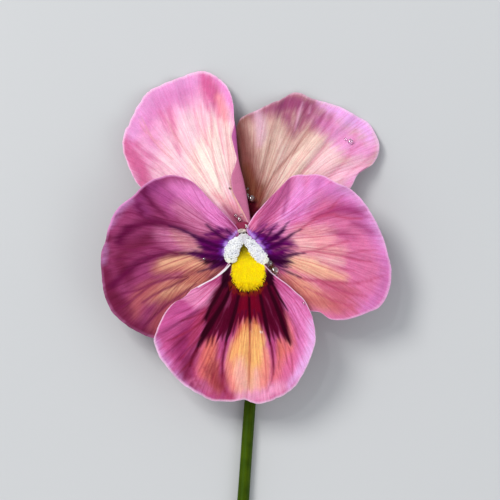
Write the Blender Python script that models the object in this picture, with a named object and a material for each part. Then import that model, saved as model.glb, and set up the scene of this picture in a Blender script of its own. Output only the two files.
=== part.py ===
"""A cut pansy lying on its back: five petals, two beards, five sepals, pistil, stamens and stem.

Lengths in the tables are millimetres from the middle of the throat. +X is the viewer's right,
+Y points to the two upper petals and +Z is up, out of the face of the flower. Heights are
measured from the surface that the flower lies on.
"""

import math
import random

import bmesh
import bpy
import numpy as np

MM = 0.001
THROAT_Y = 2.9  # the throat stands this far towards +Y of the flat tip of the spur
BLADE = 0.6  # thickness of a petal or sepal
COLUMNS = 38  # cells across a petal
ROWS = 9  # cells from the throat to the margin
EASING = 300  # rounds of easing of a petal's inner points
EASING_STEP = 0.6  # share of the way that a point goes in each round
RIPPLE_RISE = 2.5  # power by which the ripples grow from the throat to the margin
LEAST_UPRIGHT = 0.75  # the steepest slope that a petal's thickness is evened out for
CURVE_STEPS = 12  # points between two given ones, before a curve is read at equal lengths
SEED = 41

# The middle of the receptacle, on which everything is seated
SEAT_X, SEAT_Y = 0.0, 1.0

# The margins of the petals, from one end of the throat round to the other: x, y, height
UPPER_LEFT_MARGIN = (
    (-2.9, 2.7, 8.7), (-5.5, 3.6, 8.5), (-9.0, 4.9, 8.0), (-12.8, 7.0, 7.2), (-15.6, 8.7, 6.4),
    (-17.3, 9.7, 5.9), (-18.9, 11.6, 5.2), (-20.1, 14.5, 4.4), (-20.7, 16.5, 3.9),
    (-20.7, 18.4, 3.4), (-19.6, 21.2, 2.7), (-17.9, 24.5, 1.8), (-16.0, 26.7, 1.2),
    (-13.1, 28.1, 0.7), (-10.0, 29.3, 0.5), (-7.3, 30.0, 0.6), (-5.4, 29.4, 1.2),
    (-3.9, 27.6, 2.2), (-3.1, 25.6, 3.1), (-2.7, 23.5, 3.9), (-2.6, 22.0, 4.4),
)
UPPER_RIGHT_MARGIN = (
    (-1.0, 5.0, 7.2), (-2.3, 8.5, 6.5), (-2.9, 12.5, 5.6), (-2.6, 16.5, 4.5), (-1.7, 19.4, 3.6),
    (-0.5, 21.9, 2.9), (1.7, 23.0, 2.3), (4.1, 24.2, 1.8), (6.1, 25.0, 1.4), (8.0, 26.1, 1.0),
    (9.7, 26.2, 0.9), (11.6, 25.2, 0.9), (14.3, 24.5, 0.8), (16.7, 23.7, 0.7), (19.0, 22.5, 0.7),
    (21.2, 21.2, 0.6), (22.6, 19.2, 0.9), (23.2, 16.8, 1.4), (22.3, 14.3, 2.2), (20.7, 13.1, 2.8),
    (19.4, 12.1, 3.3), (18.2, 10.0, 4.0), (15.8, 7.8, 5.0), (11.5, 5.6, 6.2), (7.0, 3.8, 7.1),
    (3.4, 2.6, 7.6),
)
LATERAL_LEFT_MARGIN = (
    (-1.5, 3.2, 9.9), (-2.4, 4.4, 9.8), (-4.1, 6.1, 9.7), (-5.8, 7.8, 9.6), (-7.5, 9.7, 9.5),
    (-9.2, 11.1, 9.4), (-12.1, 12.0, 9.2), (-14.8, 11.5, 9.0), (-16.8, 10.5, 8.8),
    (-19.0, 8.7, 8.5), (-21.1, 7.1, 8.2), (-22.4, 5.3, 8.0), (-23.2, 2.9, 7.8), (-23.5, 0.9, 7.6),
    (-24.3, -1.4, 7.4), (-24.2, -4.8, 7.3), (-23.6, -8.7, 7.4), (-22.3, -11.4, 7.6),
    (-19.4, -13.8, 7.9), (-16.3, -15.4, 8.2), (-14.5, -15.5, 8.4), (-11.8, -13.6, 8.8),
    (-8.6, -10.6, 9.0), (-6.0, -7.2, 9.1), (-4.2, -4.4, 9.2), (-3.0, -2.5, 9.4),
)
LATERAL_RIGHT_MARGIN = (
    (1.5, 3.2, 9.9), (1.9, 5.1, 9.8), (2.9, 6.5, 9.8), (4.3, 8.1, 9.7), (6.0, 9.8, 9.7),
    (8.2, 11.9, 9.5), (10.4, 12.0, 9.3), (12.9, 12.1, 9.1), (15.5, 10.8, 8.8), (18.0, 9.7, 8.5),
    (20.2, 7.5, 8.2), (22.1, 4.6, 7.9), (23.6, 1.4, 7.6), (24.5, -1.7, 7.3), (25.0, -4.1, 7.2),
    (24.8, -7.0, 7.2), (23.5, -9.9, 7.5), (20.7, -11.5, 7.9), (17.5, -12.5, 8.2),
    (14.8, -12.5, 8.5), (12.9, -11.3, 8.8), (10.7, -10.9, 9.0), (8.4, -9.2, 9.2),
    (6.2, -6.5, 9.2), (4.6, -4.1, 9.3), (3.2, -2.3, 9.5),
)
LOWER_MARGIN = (
    (-1.9, -1.9, 10.0), (-2.6, -2.8, 10.5), (-3.1, -3.6, 10.8), (-4.1, -4.6, 11.1),
    (-5.4, -5.6, 11.3), (-7.1, -6.5, 11.4), (-9.0, -7.5, 11.4), (-10.2, -8.7, 11.3),
    (-11.9, -9.7, 11.2), (-13.4, -11.4, 11.0), (-14.6, -13.9, 10.8), (-15.3, -16.2, 10.5),
    (-14.3, -18.7, 10.0), (-12.6, -21.2, 9.4), (-10.7, -23.3, 8.8), (-8.2, -24.8, 8.3),
    (-6.1, -26.1, 7.9), (-3.2, -26.5, 7.7), (0.0, -26.2, 7.8), (2.2, -26.9, 7.6),
    (4.4, -26.4, 7.7), (7.0, -25.2, 8.0), (9.2, -23.8, 8.4), (10.7, -21.1, 9.0),
    (11.9, -18.2, 9.6), (12.2, -15.3, 10.1), (11.6, -12.1, 10.6), (10.4, -9.5, 10.9),
    (9.3, -8.4, 11.1), (7.0, -6.3, 11.2), (5.1, -5.0, 11.1), (3.9, -3.7, 10.8), (2.4, -2.2, 10.2),
)

# Each petal: the two ends of its edge at the throat, its margin, how far it is domed between them,
# its ripples (depth, how many, where they start), and the path of its claw with radii
PETALS = {
    "petal_upper_left": {
        "lip": ((-2.0, 2.4, 8.8), (0.0, 3.6, 8.8)),
        "margin": UPPER_LEFT_MARGIN,
        "sides": (5, 1),
        "dome": 0.5,
        "ripples": (0.30, 6.5, 0.3),
        "claw": ((-1.4, 2.7, 6.8, 0.42), (-1.3, 2.9, 7.8, 0.45), (-1.2, 3.5, 8.55, 0.5)),
        "colour": (0.75, 0.30, 0.62),
    },
    "petal_upper_right": {
        "lip": ((0.2, 3.5, 7.5), (2.2, 2.4, 7.5)),
        "margin": UPPER_RIGHT_MARGIN,
        "sides": (3, 4),
        "dome": 0.4,
        "ripples": (0.30, 7.0, 1.1),
        "claw": ((1.2, 2.6, 6.8, 0.40), (1.3, 2.9, 7.0, 0.42), (1.4, 3.5, 7.25, 0.4)),
        "colour": (0.72, 0.33, 0.62),
    },
    "petal_lateral_left": {
        "lip": ((-0.9, 2.0, 10.0), (-1.9, -0.9, 10.0)),
        "margin": LATERAL_LEFT_MARGIN,
        "sides": (3, 3),
        "dome": 0.3,
        "ripples": (0.28, 6.0, 2.0),
        "claw": ((-1.9, 0.4, 6.8, 0.42), (-1.9, 0.4, 8.6, 0.45), (-1.9, 0.4, 9.8, 0.55)),
        "colour": (0.40, 0.06, 0.27),
    },
    "petal_lateral_right": {
        "lip": ((0.9, 2.0, 10.0), (1.9, -0.9, 10.0)),
        "margin": LATERAL_RIGHT_MARGIN,
        "sides": (4, 4),
        "dome": 0.3,
        "ripples": (0.28, 6.5, 0.7),
        "claw": ((1.9, 0.4, 6.8, 0.42), (1.9, 0.4, 8.6, 0.45), (1.9, 0.4, 9.8, 0.55)),
        "colour": (0.68, 0.24, 0.55),
    },
    "petal_lower": {
        "lip": ((-1.0, -0.8, 9.4), (1.2, -0.8, 9.4)),
        "margin": LOWER_MARGIN,
        "sides": (7, 7),
        "dome": 0.2,
        "ripples": (0.26, 7.5, 0.0),
        "claw": ((0.0, -1.05, 6.8, 0.38), (0.0, -1.35, 7.3, 0.42), (0.0, -2.0, 8.0, 0.45)),
        "colour": (0.55, 0.12, 0.30),
    },
}

# Where the right margin of the upper left petal is folded forward over its face: share of the
# way from throat to margin, and how far the fold reaches back over the face
FOLD_REACH = (
    (0.0, 0.15), (0.08, 0.7), (0.19, 1.5), (0.26, 2.1), (0.34, 2.2), (0.43, 1.6), (0.54, 0.55),
    (0.62, 0.75), (0.72, 0.9), (0.85, 0.6), (1.0, 0.15),
)
FOLD_INNER = 0.3  # inner radius of the fold
FOLD_STEPS = 4  # cells round the fold

# The spur of the lower petal, from the throat back to the flat tip that it rests on
SPUR = (
    (0.0, -2.0, 9.1, 0.9), (0.0, -2.3, 7.6, 1.1), (0.0, -2.45, 5.6, 1.0), (0.0, -2.6, 3.6, 1.0),
    (0.0, -2.75, 2.0, 1.15), (0.0, -2.85, 0.9, 1.1), (0.0, -2.9, 0.3, 0.85), (0.0, -2.9, 0.0, 0.6),
)

# The white beards of the lateral petals, over the throat: x, y, height of the line they grow on
BEARD_LEFT = (
    (-0.75, 1.25, 10.75), (-1.0, 0.4, 10.8), (-1.6, -0.5, 10.85), (-2.1, -1.4, 10.95),
    (-2.3, -2.3, 11.05),
)
BEARD_RIGHT = (
    (0.75, 1.25, 10.75), (1.2, 0.4, 10.8), (2.0, -0.5, 10.85), (2.8, -1.4, 10.95),
    (3.4, -2.3, 11.2),
)
BEARD_HAIRS = 20
BEARD_CORE = 0.22  # radius of the line that the hairs grow on
HAIR_LEANS = (-1.15, 0.0, 1.15)  # the hairs lean out, stand and lean in by turns, in radians
HAIR_LENGTH = 0.55
HAIR_GAIN = 0.25  # how much longer the last hair is than the first

# Sepals: the way each points, and its profile from the tip of the ear behind it to its point:
# distance from the middle of the seat, height, half width
SEPAL_WAYS = (90, 18, 162, 318, 222)
SEPAL_PROFILE = (
    (2.9, 3.9, 0.30), (2.5, 4.5, 0.65), (2.2, 5.2, 0.75), (2.35, 5.75, 0.8), (2.9, 6.1, 0.95),
    (4.0, 6.15, 1.3), (5.8, 5.9, 1.6), (7.8, 5.4, 1.5), (9.8, 4.75, 1.1), (11.4, 4.15, 0.6),
    (12.6, 3.7, 0.12),
)
SEPAL_ROWS = 14
SEPAL_COLUMNS = 4
SEPAL_CURL = 0.25  # how far the sides of a sepal stand below its middle

# The stem: x, y, height, radius, from its cut end to the underside of the seat
STEM = (
    (-1.6, -72.0, 1.05, 1.08), (-1.2, -62.0, 1.06, 1.06), (-0.6, -50.0, 1.08, 1.05),
    (0.2, -38.0, 1.06, 1.02), (0.9, -28.0, 1.05, 1.0), (1.7, -18.0, 1.02, 1.0),
    (2.5, -9.0, 1.0, 0.98), (2.85, -3.6, 1.0, 0.97), (2.85, -1.0, 1.1, 0.95),
    (2.55, 0.9, 1.4, 0.92), (1.7, 2.2, 2.0, 0.9), (0.75, 2.3, 2.9, 0.9), (0.15, 1.6, 3.8, 0.92),
    (0.0, 1.1, 4.7, 1.05), (0.0, 1.0, 5.3, 1.45), (0.0, 1.0, 5.9, 1.7), (0.0, 1.0, 6.5, 1.75),
)
# The two bracts: x and y of each foot and its side, and the path of one: aside, on, height, radius
BRACT_PLACES = ((2.2, -11.5, 1), (2.35, -10.3, -1))
BRACT_PATH = ((0.6, -0.3, 1.3, 0.3), (1.2, 0.3, 1.6, 0.34), (1.6, 1.3, 1.8, 0.32),
              (1.9, 2.6, 1.9, 0.1))

# The pistil: seed case, bent style and round stigma
PISTIL = (
    (0.0, 1.0, 6.8, 0.35), (0.0, 1.0, 7.1, 0.58), (0.0, 1.0, 7.7, 0.66), (0.0, 1.0, 8.3, 0.5),
    (0.0, 1.05, 8.7, 0.26), (0.0, 1.3, 9.2, 0.2), (0.0, 1.75, 9.6, 0.22), (0.0, 2.1, 9.85, 0.32),
    (0.0, 2.3, 10.15, 0.44), (0.0, 2.4, 10.5, 0.4), (0.0, 2.45, 10.75, 0.2),
)
STAMEN_COUNT = 5
STAMEN_INNER = 0.96
STAMEN_OUTER = 1.3
STAMEN_BASE = 6.8
STAMEN_TOP = 9.0
STAMEN_TURNS = 30
STAMEN_SWELL = 0.2  # how far each anther bulges out of the cone
STAMEN_NOTCH = 0.35  # depth of the notches between their tips
# The wall of the cone, once round it: share of its height, share of the bulge, 1 on the inside
STAMEN_PROFILE = (
    (0.0, 0.0, 0.0), (0.35, 1.0, 0.0), (0.8, 1.0, 0.0), (1.0, 0.3, 0.0),
    (1.0, 0.0, 1.0), (0.5, 0.0, 1.0), (0.0, 0.0, 1.0),
)

WHITE = (0.88, 0.90, 0.88)
SEPAL_GREEN = (0.10, 0.19, 0.03)
STEM_GREEN = (0.13, 0.17, 0.02)
PISTIL_GREEN = (0.50, 0.55, 0.20)
STAMEN_ORANGE = (0.62, 0.28, 0.04)


# Scene and materials

def clear_scene():
    for item in list(bpy.data.objects):
        bpy.data.objects.remove(item, do_unlink=True)


def make_material(name, colour, roughness):
    material = bpy.data.materials.new(name)
    material.use_nodes = True
    shader = material.node_tree.nodes["Principled BSDF"]
    shader.inputs["Base Color"].default_value = (*colour, 1.0)
    shader.inputs["Roughness"].default_value = roughness
    shader.inputs["Metallic"].default_value = 0.0
    return material


def make_object(name, points, faces, material, parent):
    """A closed mesh in millimetres from the throat, with its faces turned outwards."""
    mesh = bpy.data.meshes.new(name)
    mesh.from_pydata([tuple(p * MM) for p in points], [], faces)
    solid = bmesh.new()
    solid.from_mesh(mesh)
    bmesh.ops.recalc_face_normals(solid, faces=solid.faces)
    solid.to_mesh(mesh)
    solid.free()
    mesh.materials.append(material)
    item = bpy.data.objects.new(name, mesh)
    bpy.context.scene.collection.objects.link(item)
    item.parent = parent
    return item


def smooth_by_angle(item, degrees):
    item.data.shade_smooth()
    item.data.set_sharp_from_angle(angle=math.radians(degrees))


def fuse(item, others):
    """Joins the others into the item as one closed body and removes them."""
    group = bpy.data.collections.new(item.name + "_joined")
    for other in others:
        group.objects.link(other)
    join = item.modifiers.new("join", "BOOLEAN")
    join.operation = "UNION"
    join.operand_type = "COLLECTION"
    join.collection = group
    join.solver = "EXACT"
    bpy.context.view_layer.update()
    graph = bpy.context.evaluated_depsgraph_get()
    joined = bpy.data.meshes.new_from_object(item.evaluated_get(graph))
    item.modifiers.remove(join)
    item.data = joined
    for other in others:
        bpy.data.objects.remove(other, do_unlink=True)
    bpy.data.collections.remove(group)


# Curves

def smooth_curve(points, steps):
    """Points along a smooth curve through the given ones, with steps between each two."""
    rows = [np.array(p, float) for p in points]
    rows = [2 * rows[0] - rows[1]] + rows + [2 * rows[-1] - rows[-2]]
    curve = []
    for a, b, c, d in zip(rows, rows[1:], rows[2:], rows[3:]):
        for k in range(steps):
            u = k / steps
            curve.append(
                0.5 * (2 * b + (c - a) * u + (2 * a - 5 * b + 4 * c - d) * u ** 2
                       + (3 * b - a - 3 * c + d) * u ** 3)
            )
    curve.append(rows[-2])
    return np.array(curve)


def even_curve(points, cells):
    """The smooth curve through the points, read at equal lengths along it."""
    curve = smooth_curve(points, CURVE_STEPS)
    lengths = np.linalg.norm(np.diff(curve[:, :3], axis=0), axis=1)
    along = np.concatenate([[0.0], np.cumsum(lengths)])
    wanted = np.linspace(0.0, along[-1], cells + 1)
    return np.stack([np.interp(wanted, along, curve[:, k]) for k in range(curve.shape[1])], 1)


def read_table(table, value):
    return float(np.interp(value, [row[0] for row in table], [row[1] for row in table]))


def unit(vector):
    return vector / max(np.linalg.norm(vector), 1e-9)


# Sheets: petals and sepals

def ripple(share, depth, count, start):
    """Height of the ripples of a margin, dying away towards both ends of it."""
    fade = math.sin(math.pi * share) ** 0.6 if 0 < share < 1 else 0.0
    first = math.sin(2 * math.pi * (count * share + start))
    second = math.sin(2 * math.pi * (count * 1.7 * share + 2 * start))
    return depth * fade * (first + 0.5 * second)


def ease(grid):
    """Moves the inner points of a grid until its rows and columns spread evenly and never cross."""
    for _ in range(EASING):
        down = (grid[2:, 1:-1] - grid[:-2, 1:-1]) / 2
        over = (grid[1:-1, 2:] - grid[1:-1, :-2]) / 2
        twist = (grid[2:, 2:] - grid[:-2, 2:] - grid[2:, :-2] + grid[:-2, :-2]) / 4
        a = np.sum(over[..., :2] ** 2, axis=2, keepdims=True)
        b = np.sum(over[..., :2] * down[..., :2], axis=2, keepdims=True)
        c = np.sum(down[..., :2] ** 2, axis=2, keepdims=True)
        pull = a * (grid[2:, 1:-1] + grid[:-2, 1:-1]) + c * (grid[1:-1, 2:] + grid[1:-1, :-2])
        wanted = (pull - 2 * b * twist) / np.maximum(2 * (a + c), 1e-9)
        grid[1:-1, 1:-1] += EASING_STEP * (wanted - grid[1:-1, 1:-1])


def petal_front(petal):
    """The upper face of a petal: a patch between its throat edge, its two sides and its margin.

    Rows run from the throat out to the margin, columns from one side across to the other.
    """
    near, far = (np.array(p) for p in petal["lip"])
    table = petal["margin"]
    first, last = petal["sides"]
    side_a = even_curve((near, *table[:first]), ROWS)
    side_b = even_curve((far, *table[: -last - 1 : -1]), ROWS)
    margin = even_curve(table[first - 1 : len(table) - last + 1], COLUMNS)
    grid = np.zeros((ROWS + 1, COLUMNS + 1, 3))
    for j in range(COLUMNS + 1):
        t = j / COLUMNS
        lip = near + (far - near) * t
        for i in range(ROWS + 1):
            s = i / ROWS
            corners = (1 - s) * ((1 - t) * near + t * far)
            corners = corners + s * ((1 - t) * margin[0] + t * margin[-1])
            grid[i, j] = (1 - t) * side_a[i] + t * side_b[i] + (1 - s) * lip + s * margin[j]
            grid[i, j] -= corners
    ease(grid)
    for j in range(COLUMNS + 1):
        t = j / COLUMNS
        for i in range(ROWS + 1):
            s = i / ROWS
            grid[i, j, 2] += petal["dome"] * 4 * s * (1 - s) * math.sin(math.pi * t)
            grid[i, j, 2] += ripple(t, *petal["ripples"]) * s ** RIPPLE_RISE
    return grid


def petal_back(front):
    """The lower face, straight below the upper one, as far as the slope needs for the thickness."""
    along = np.gradient(front, axis=0)
    across = np.gradient(front, axis=1)
    normals = np.cross(along, across)
    upright = np.abs(normals[..., 2]) / np.maximum(np.linalg.norm(normals, axis=2), 1e-9)
    back = front.copy()
    back[..., 2] -= BLADE / np.clip(upright, LEAST_UPRIGHT, 1.0)
    return back


def fold_forward(front, back):
    """Adds the margin that is folded forward over the face, past the last column."""
    edge = front[:, -1]
    inward = front[:, -2] - edge
    added_front = []
    added_back = []
    outer = FOLD_INNER + BLADE
    for i, point in enumerate(edge):
        reach = read_table(FOLD_REACH, i / ROWS)
        up = unit(point - back[i, -1])
        out = unit(-(inward[i] - up * np.dot(inward[i], up)))
        centre = point + up * FOLD_INNER
        turn = math.pi * min(1.0, reach / outer)
        fronts = []
        backs = []
        for k in range(1, FOLD_STEPS + 1):
            angle = -math.pi / 2 + turn * k / FOLD_STEPS
            way = out * math.cos(angle) + up * math.sin(angle)
            fronts.append(centre + way * FOLD_INNER)
            backs.append(centre + way * outer)
        last = -math.pi / 2 + turn
        onward = up * math.cos(last) - out * math.sin(last)
        for k in (0.5, 1.0):
            length = k * max(0.3, reach - outer)
            fronts.append(fronts[FOLD_STEPS - 1] + onward * length)
            backs.append(backs[FOLD_STEPS - 1] + onward * length)
        added_front.append(fronts)
        added_back.append(backs)
    front = np.concatenate([front, np.array(added_front)], axis=1)
    back = np.concatenate([back, np.array(added_back)], axis=1)
    return front, back


def sheet_faces(rows, columns):
    """Triangles of two grids, one behind the other and split alike, with the rim between them."""
    def index(i, j, side):
        return side * rows * columns + i * columns + j

    faces = []
    for side in (0, 1):
        for i in range(rows - 1):
            for j in range(columns - 1):
                a, b = index(i, j, side), index(i, j + 1, side)
                c, d = index(i + 1, j + 1, side), index(i + 1, j, side)
                faces += [(a, b, c), (a, c, d)]
    rim = [(0, j) for j in range(columns)]
    rim += [(i, columns - 1) for i in range(1, rows)]
    rim += [(rows - 1, j) for j in range(columns - 2, -1, -1)]
    rim += [(i, 0) for i in range(rows - 2, 0, -1)]
    for k, (i, j) in enumerate(rim):
        m, n = rim[(k + 1) % len(rim)]
        a, b = index(i, j, 0), index(m, n, 0)
        c, d = index(m, n, 1), index(i, j, 1)
        faces += [(a, b, c), (a, c, d)]
    return faces


def make_sheet(name, front, back, material, parent):
    rows, columns = front.shape[:2]
    points = np.concatenate([front.reshape(-1, 3), back.reshape(-1, 3)])
    points[:, 2] = np.maximum(points[:, 2], 0.0)
    return make_object(name, points, sheet_faces(rows, columns), material, parent)


def petal(name, table, parent):
    material = make_material(name, table["colour"], 0.6)
    front = petal_front(table)
    back = petal_back(front)
    if name == "petal_upper_left":
        front, back = fold_forward(front, back)
    blade = make_sheet(name, front, back, material, parent)
    claw = make_tube(name + "_claw", smooth_curve(table["claw"], 2), 7, material, parent)
    pieces = [claw]
    if name == "petal_lower":
        pieces.append(make_tube("spur", smooth_curve(SPUR, 2), 12, material, parent))
    fuse(blade, pieces)
    smooth_by_angle(blade, 50)


def sepal(name, degrees, material, parent):
    turn = math.radians(degrees)
    out = np.array([math.cos(turn), math.sin(turn), 0.0])
    side = np.array([-out[1], out[0], 0.0])
    seat = np.array([SEAT_X, SEAT_Y, 0.0])
    profile = even_curve(SEPAL_PROFILE, SEPAL_ROWS)
    grid = np.zeros((len(profile), SEPAL_COLUMNS + 1, 3))
    for i, (distance, height, half) in enumerate(profile):
        for j in range(SEPAL_COLUMNS + 1):
            across = 2 * j / SEPAL_COLUMNS - 1
            grid[i, j] = seat + out * distance + side * across * half
            grid[i, j, 2] = height - SEPAL_CURL * across ** 2 * min(1.0, half)
    along = np.gradient(grid, axis=0)
    across = np.gradient(grid, axis=1)
    normals = np.cross(along, across)
    normals = normals / np.maximum(np.linalg.norm(normals, axis=2, keepdims=True), 1e-9)
    back = grid - normals * BLADE
    middle = (SEPAL_ROWS // 2, SEPAL_COLUMNS // 2, 2)
    if back[middle] > grid[middle]:
        back = grid + normals * BLADE
    item = make_sheet(name, grid, back, material, parent)
    smooth_by_angle(item, 50)


# Round pieces: stem, spur, pistil, hairs

def make_tube(name, path, sides, material, parent):
    """A closed tube along x, y, z, radius rows, with flat ends."""
    points = []
    up = np.array([1.0, 0.0, 0.0])
    for i, row in enumerate(path):
        ahead = path[min(i + 1, len(path) - 1)][:3] - path[max(i - 1, 0)][:3]
        ahead = unit(ahead)
        up = unit(up - ahead * np.dot(up, ahead))
        side = np.cross(ahead, up)
        for k in range(sides):
            angle = 2 * math.pi * k / sides
            points.append(row[:3] + (up * math.cos(angle) + side * math.sin(angle)) * row[3])
    points = np.array(points)
    points[:, 2] = np.maximum(points[:, 2], 0.0)
    faces = [tuple(range(sides)), tuple(range(len(points) - sides, len(points)))]
    for i in range(len(path) - 1):
        for k in range(sides):
            a, b = i * sides + k, i * sides + (k + 1) % sides
            faces.append((a, b, b + sides, a + sides))
    return make_object(name, points, faces, material, parent)


def beard(name, line, outward, parent):
    """A tuft of blunt white hairs along a short spine."""
    material = make_material(name, WHITE, 0.7)
    spine = even_curve(line, 10)
    rows = [(*p, BEARD_CORE) for p in spine]
    tuft = make_tube(name, np.array(rows), 6, material, parent)
    draw = random.Random(SEED + (7 if outward > 0 else 0))
    hairs = []
    for k in range(BEARD_HAIRS):
        share = (k + 0.5) / BEARD_HAIRS
        root = spine[min(int(share * 10), 9)] * (1 - (share * 10) % 1)
        root = root + spine[min(int(share * 10) + 1, 10)] * ((share * 10) % 1)
        lean = HAIR_LEANS[k % 3] + draw.uniform(-0.25, 0.25)
        way = np.array([outward * math.sin(lean), draw.uniform(-0.35, 0.25), math.cos(lean)])
        length = HAIR_LENGTH + HAIR_GAIN * share + draw.uniform(-0.05, 0.12)
        tip = root + unit(way) * length
        middle = root + unit(way) * length * 0.55
        end = root + unit(way) * (length + 0.1)
        path = np.array([(*root, 0.12), (*middle, 0.15), (*tip, 0.17), (*end, 0.09)])
        hairs.append(make_tube(f"{name}_hair_{k}", path, 5, material, parent))
    fuse(tuft, hairs)
    smooth_by_angle(tuft, 60)


def stem(parent):
    material = make_material("stem", STEM_GREEN, 0.5)
    item = make_tube("stem", smooth_curve(STEM, 2), 12, material, parent)
    bracts = []
    for x, y, side in BRACT_PLACES:
        path = np.array([
            (x + side * aside, y + on, height, radius) for aside, on, height, radius in BRACT_PATH
        ])
        bracts.append(make_tube(f"bract_{side}", path, 6, material, parent))
    fuse(item, bracts)
    smooth_by_angle(item, 40)


def pistil(parent):
    material = make_material("pistil", PISTIL_GREEN, 0.5)
    item = make_tube("pistil", smooth_curve(PISTIL, 2), 10, material, parent)
    smooth_by_angle(item, 50)


def stamens(parent):
    """Five anthers standing side by side as a cone round the seed case."""
    material = make_material("stamens", STAMEN_ORANGE, 0.6)
    points = []
    for k in range(STAMEN_TURNS):
        angle = 2 * math.pi * k / STAMEN_TURNS
        lobe = abs(math.cos(STAMEN_COUNT * angle / 2))
        for height, swell, inner in STAMEN_PROFILE:
            radius = STAMEN_INNER
            if not inner:
                radius = STAMEN_OUTER - STAMEN_SWELL + STAMEN_SWELL * swell * lobe
            z = STAMEN_BASE + (STAMEN_TOP - STAMEN_BASE) * height
            if height == 1.0:
                z -= STAMEN_NOTCH * (1 - lobe)
            x = SEAT_X + radius * math.cos(angle)
            y = SEAT_Y + radius * math.sin(angle)
            points.append((x, y, z))
    ring = len(STAMEN_PROFILE)
    faces = []
    for k in range(STAMEN_TURNS):
        onward = (k + 1) % STAMEN_TURNS
        for m in range(ring):
            n = (m + 1) % ring
            faces.append((k * ring + m, k * ring + n, onward * ring + n, onward * ring + m))
    item = make_object("stamens", np.array(points), faces, material, parent)
    smooth_by_angle(item, 50)


def main():
    clear_scene()
    flower = bpy.data.objects.new("pansy", None)
    flower.location = (0.0, THROAT_Y * MM, 0.0)
    bpy.context.scene.collection.objects.link(flower)
    for name, table in PETALS.items():
        petal(name, table, flower)
    beard("beard_left", BEARD_LEFT, -1, flower)
    beard("beard_right", BEARD_RIGHT, 1, flower)
    green = make_material("sepals", SEPAL_GREEN, 0.55)
    for name, degrees in zip(("upper", "right", "left", "lower_right", "lower_left"), SEPAL_WAYS):
        sepal("sepal_" + name, degrees, green, flower)
    stem(flower)
    pistil(flower)
    stamens(flower)


main()
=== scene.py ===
"""The looks of the cut pansy: petals with their markings, beards, throat, sepals, stem and drops.

Lengths are millimetres from the middle of the throat, as in the CAD: +X is the viewer's right, +Y
points to the two upper petals and +Z is up, out of the face of the flower. Only the strokes of
paint are places in the photo, read in its pixels. Colours are sRGB, 0 to 255.
"""

import math
import random

import bpy
import numpy as np
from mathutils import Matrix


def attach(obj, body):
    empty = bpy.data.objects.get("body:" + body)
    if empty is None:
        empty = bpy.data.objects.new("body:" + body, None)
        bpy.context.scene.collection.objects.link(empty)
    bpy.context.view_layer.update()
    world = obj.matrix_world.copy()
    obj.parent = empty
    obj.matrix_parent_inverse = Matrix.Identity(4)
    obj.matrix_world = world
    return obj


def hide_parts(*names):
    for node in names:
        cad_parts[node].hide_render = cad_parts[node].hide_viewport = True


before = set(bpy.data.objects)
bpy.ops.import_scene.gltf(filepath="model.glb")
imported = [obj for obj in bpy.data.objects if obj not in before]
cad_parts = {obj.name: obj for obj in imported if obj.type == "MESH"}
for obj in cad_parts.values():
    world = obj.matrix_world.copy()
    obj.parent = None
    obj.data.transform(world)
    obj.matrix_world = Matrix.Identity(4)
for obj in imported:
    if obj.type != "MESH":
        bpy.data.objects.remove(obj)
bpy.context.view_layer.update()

MM = 0.001
THROAT_Y = 2.9  # the throat stands this far towards +Y of the flat tip of the spur
PHOTO_THROAT = (244, 246)  # pixel of the photo at the middle of the throat
PIXEL = 0.17  # millimetres that a pixel of the photo spans
SHEET = 0.3  # thickness of a petal
PETAL_CELLS = (132, 420, 3)  # a petal's rows and columns, and how much coarser its back is
FOLDED_CELLS = (120, 360, 2)  # the same for the petal whose margin is folded over
COARSE_ROWS = 9  # cells of the CAD's own grid from the throat to the margin
COARSE_COLUMNS = 38  # and across a petal
EASING = 300  # rounds that spread a grid's inner points evenly
CURVE_STEPS = 12  # steps between two given points of a curve that is then read evenly
BULGE = 0.07  # how far the middle of a petal's rim stands out
RIM = ((0.15, 0.7), (0.5, 1.0), (0.85, 0.7))  # a rim's rings: share of the way down, and of its bulge
WIDE_SOFT = 1.6  # paint that is at least as soft as this frays less
WIDE_FRAY = 0.6  # share of its fraying that it keeps
STROKE_STEPS = 4  # steps between two given points of a stroke
THINNEST = 0.01  # least half width of a stroke
PLACE_ACROSS, PLACE_ALONG = 60.0, 25.0  # a petal's width and length in its materials' own scale
# The pale rim of a petal is partly its paler edge and partly a painted highlight of the light that the thin
# edge catches
RIM_WIDTH = 0.09  # width of a petal's pale rim
CLAW_SIDES = 28  # sides of the tubes of claws, spur and foot
CLAW_COLOUR = (214, 208, 170)

# Noise over a sheet, layer by layer: strength, how many waves across it and along it
FRINGE = ((1.0, 62, 5), (0.6, 150, 9))
FLECKS = ((0.6, 170, 34), (0.4, 70, 22))
SCALLOPS = ((0.07, 38), (0.04, 91))  # the margin's small waves: depth and how many
RIDGES = ((0.050, 42, 2.2, 0.6), (0.022, 110, 4.5, 1.0))  # and how fast they rise from the throat

# The fine veins: how many leave the throat, their half width there, how strong each order of
# forks is, and how deep they lie
VEINS = 11
VEIN_WIDTH = 0.11
VEIN_STRENGTHS = (1.0, 0.8, 0.65, 0.5)
VEIN_DEPTH = 0.045

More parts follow.
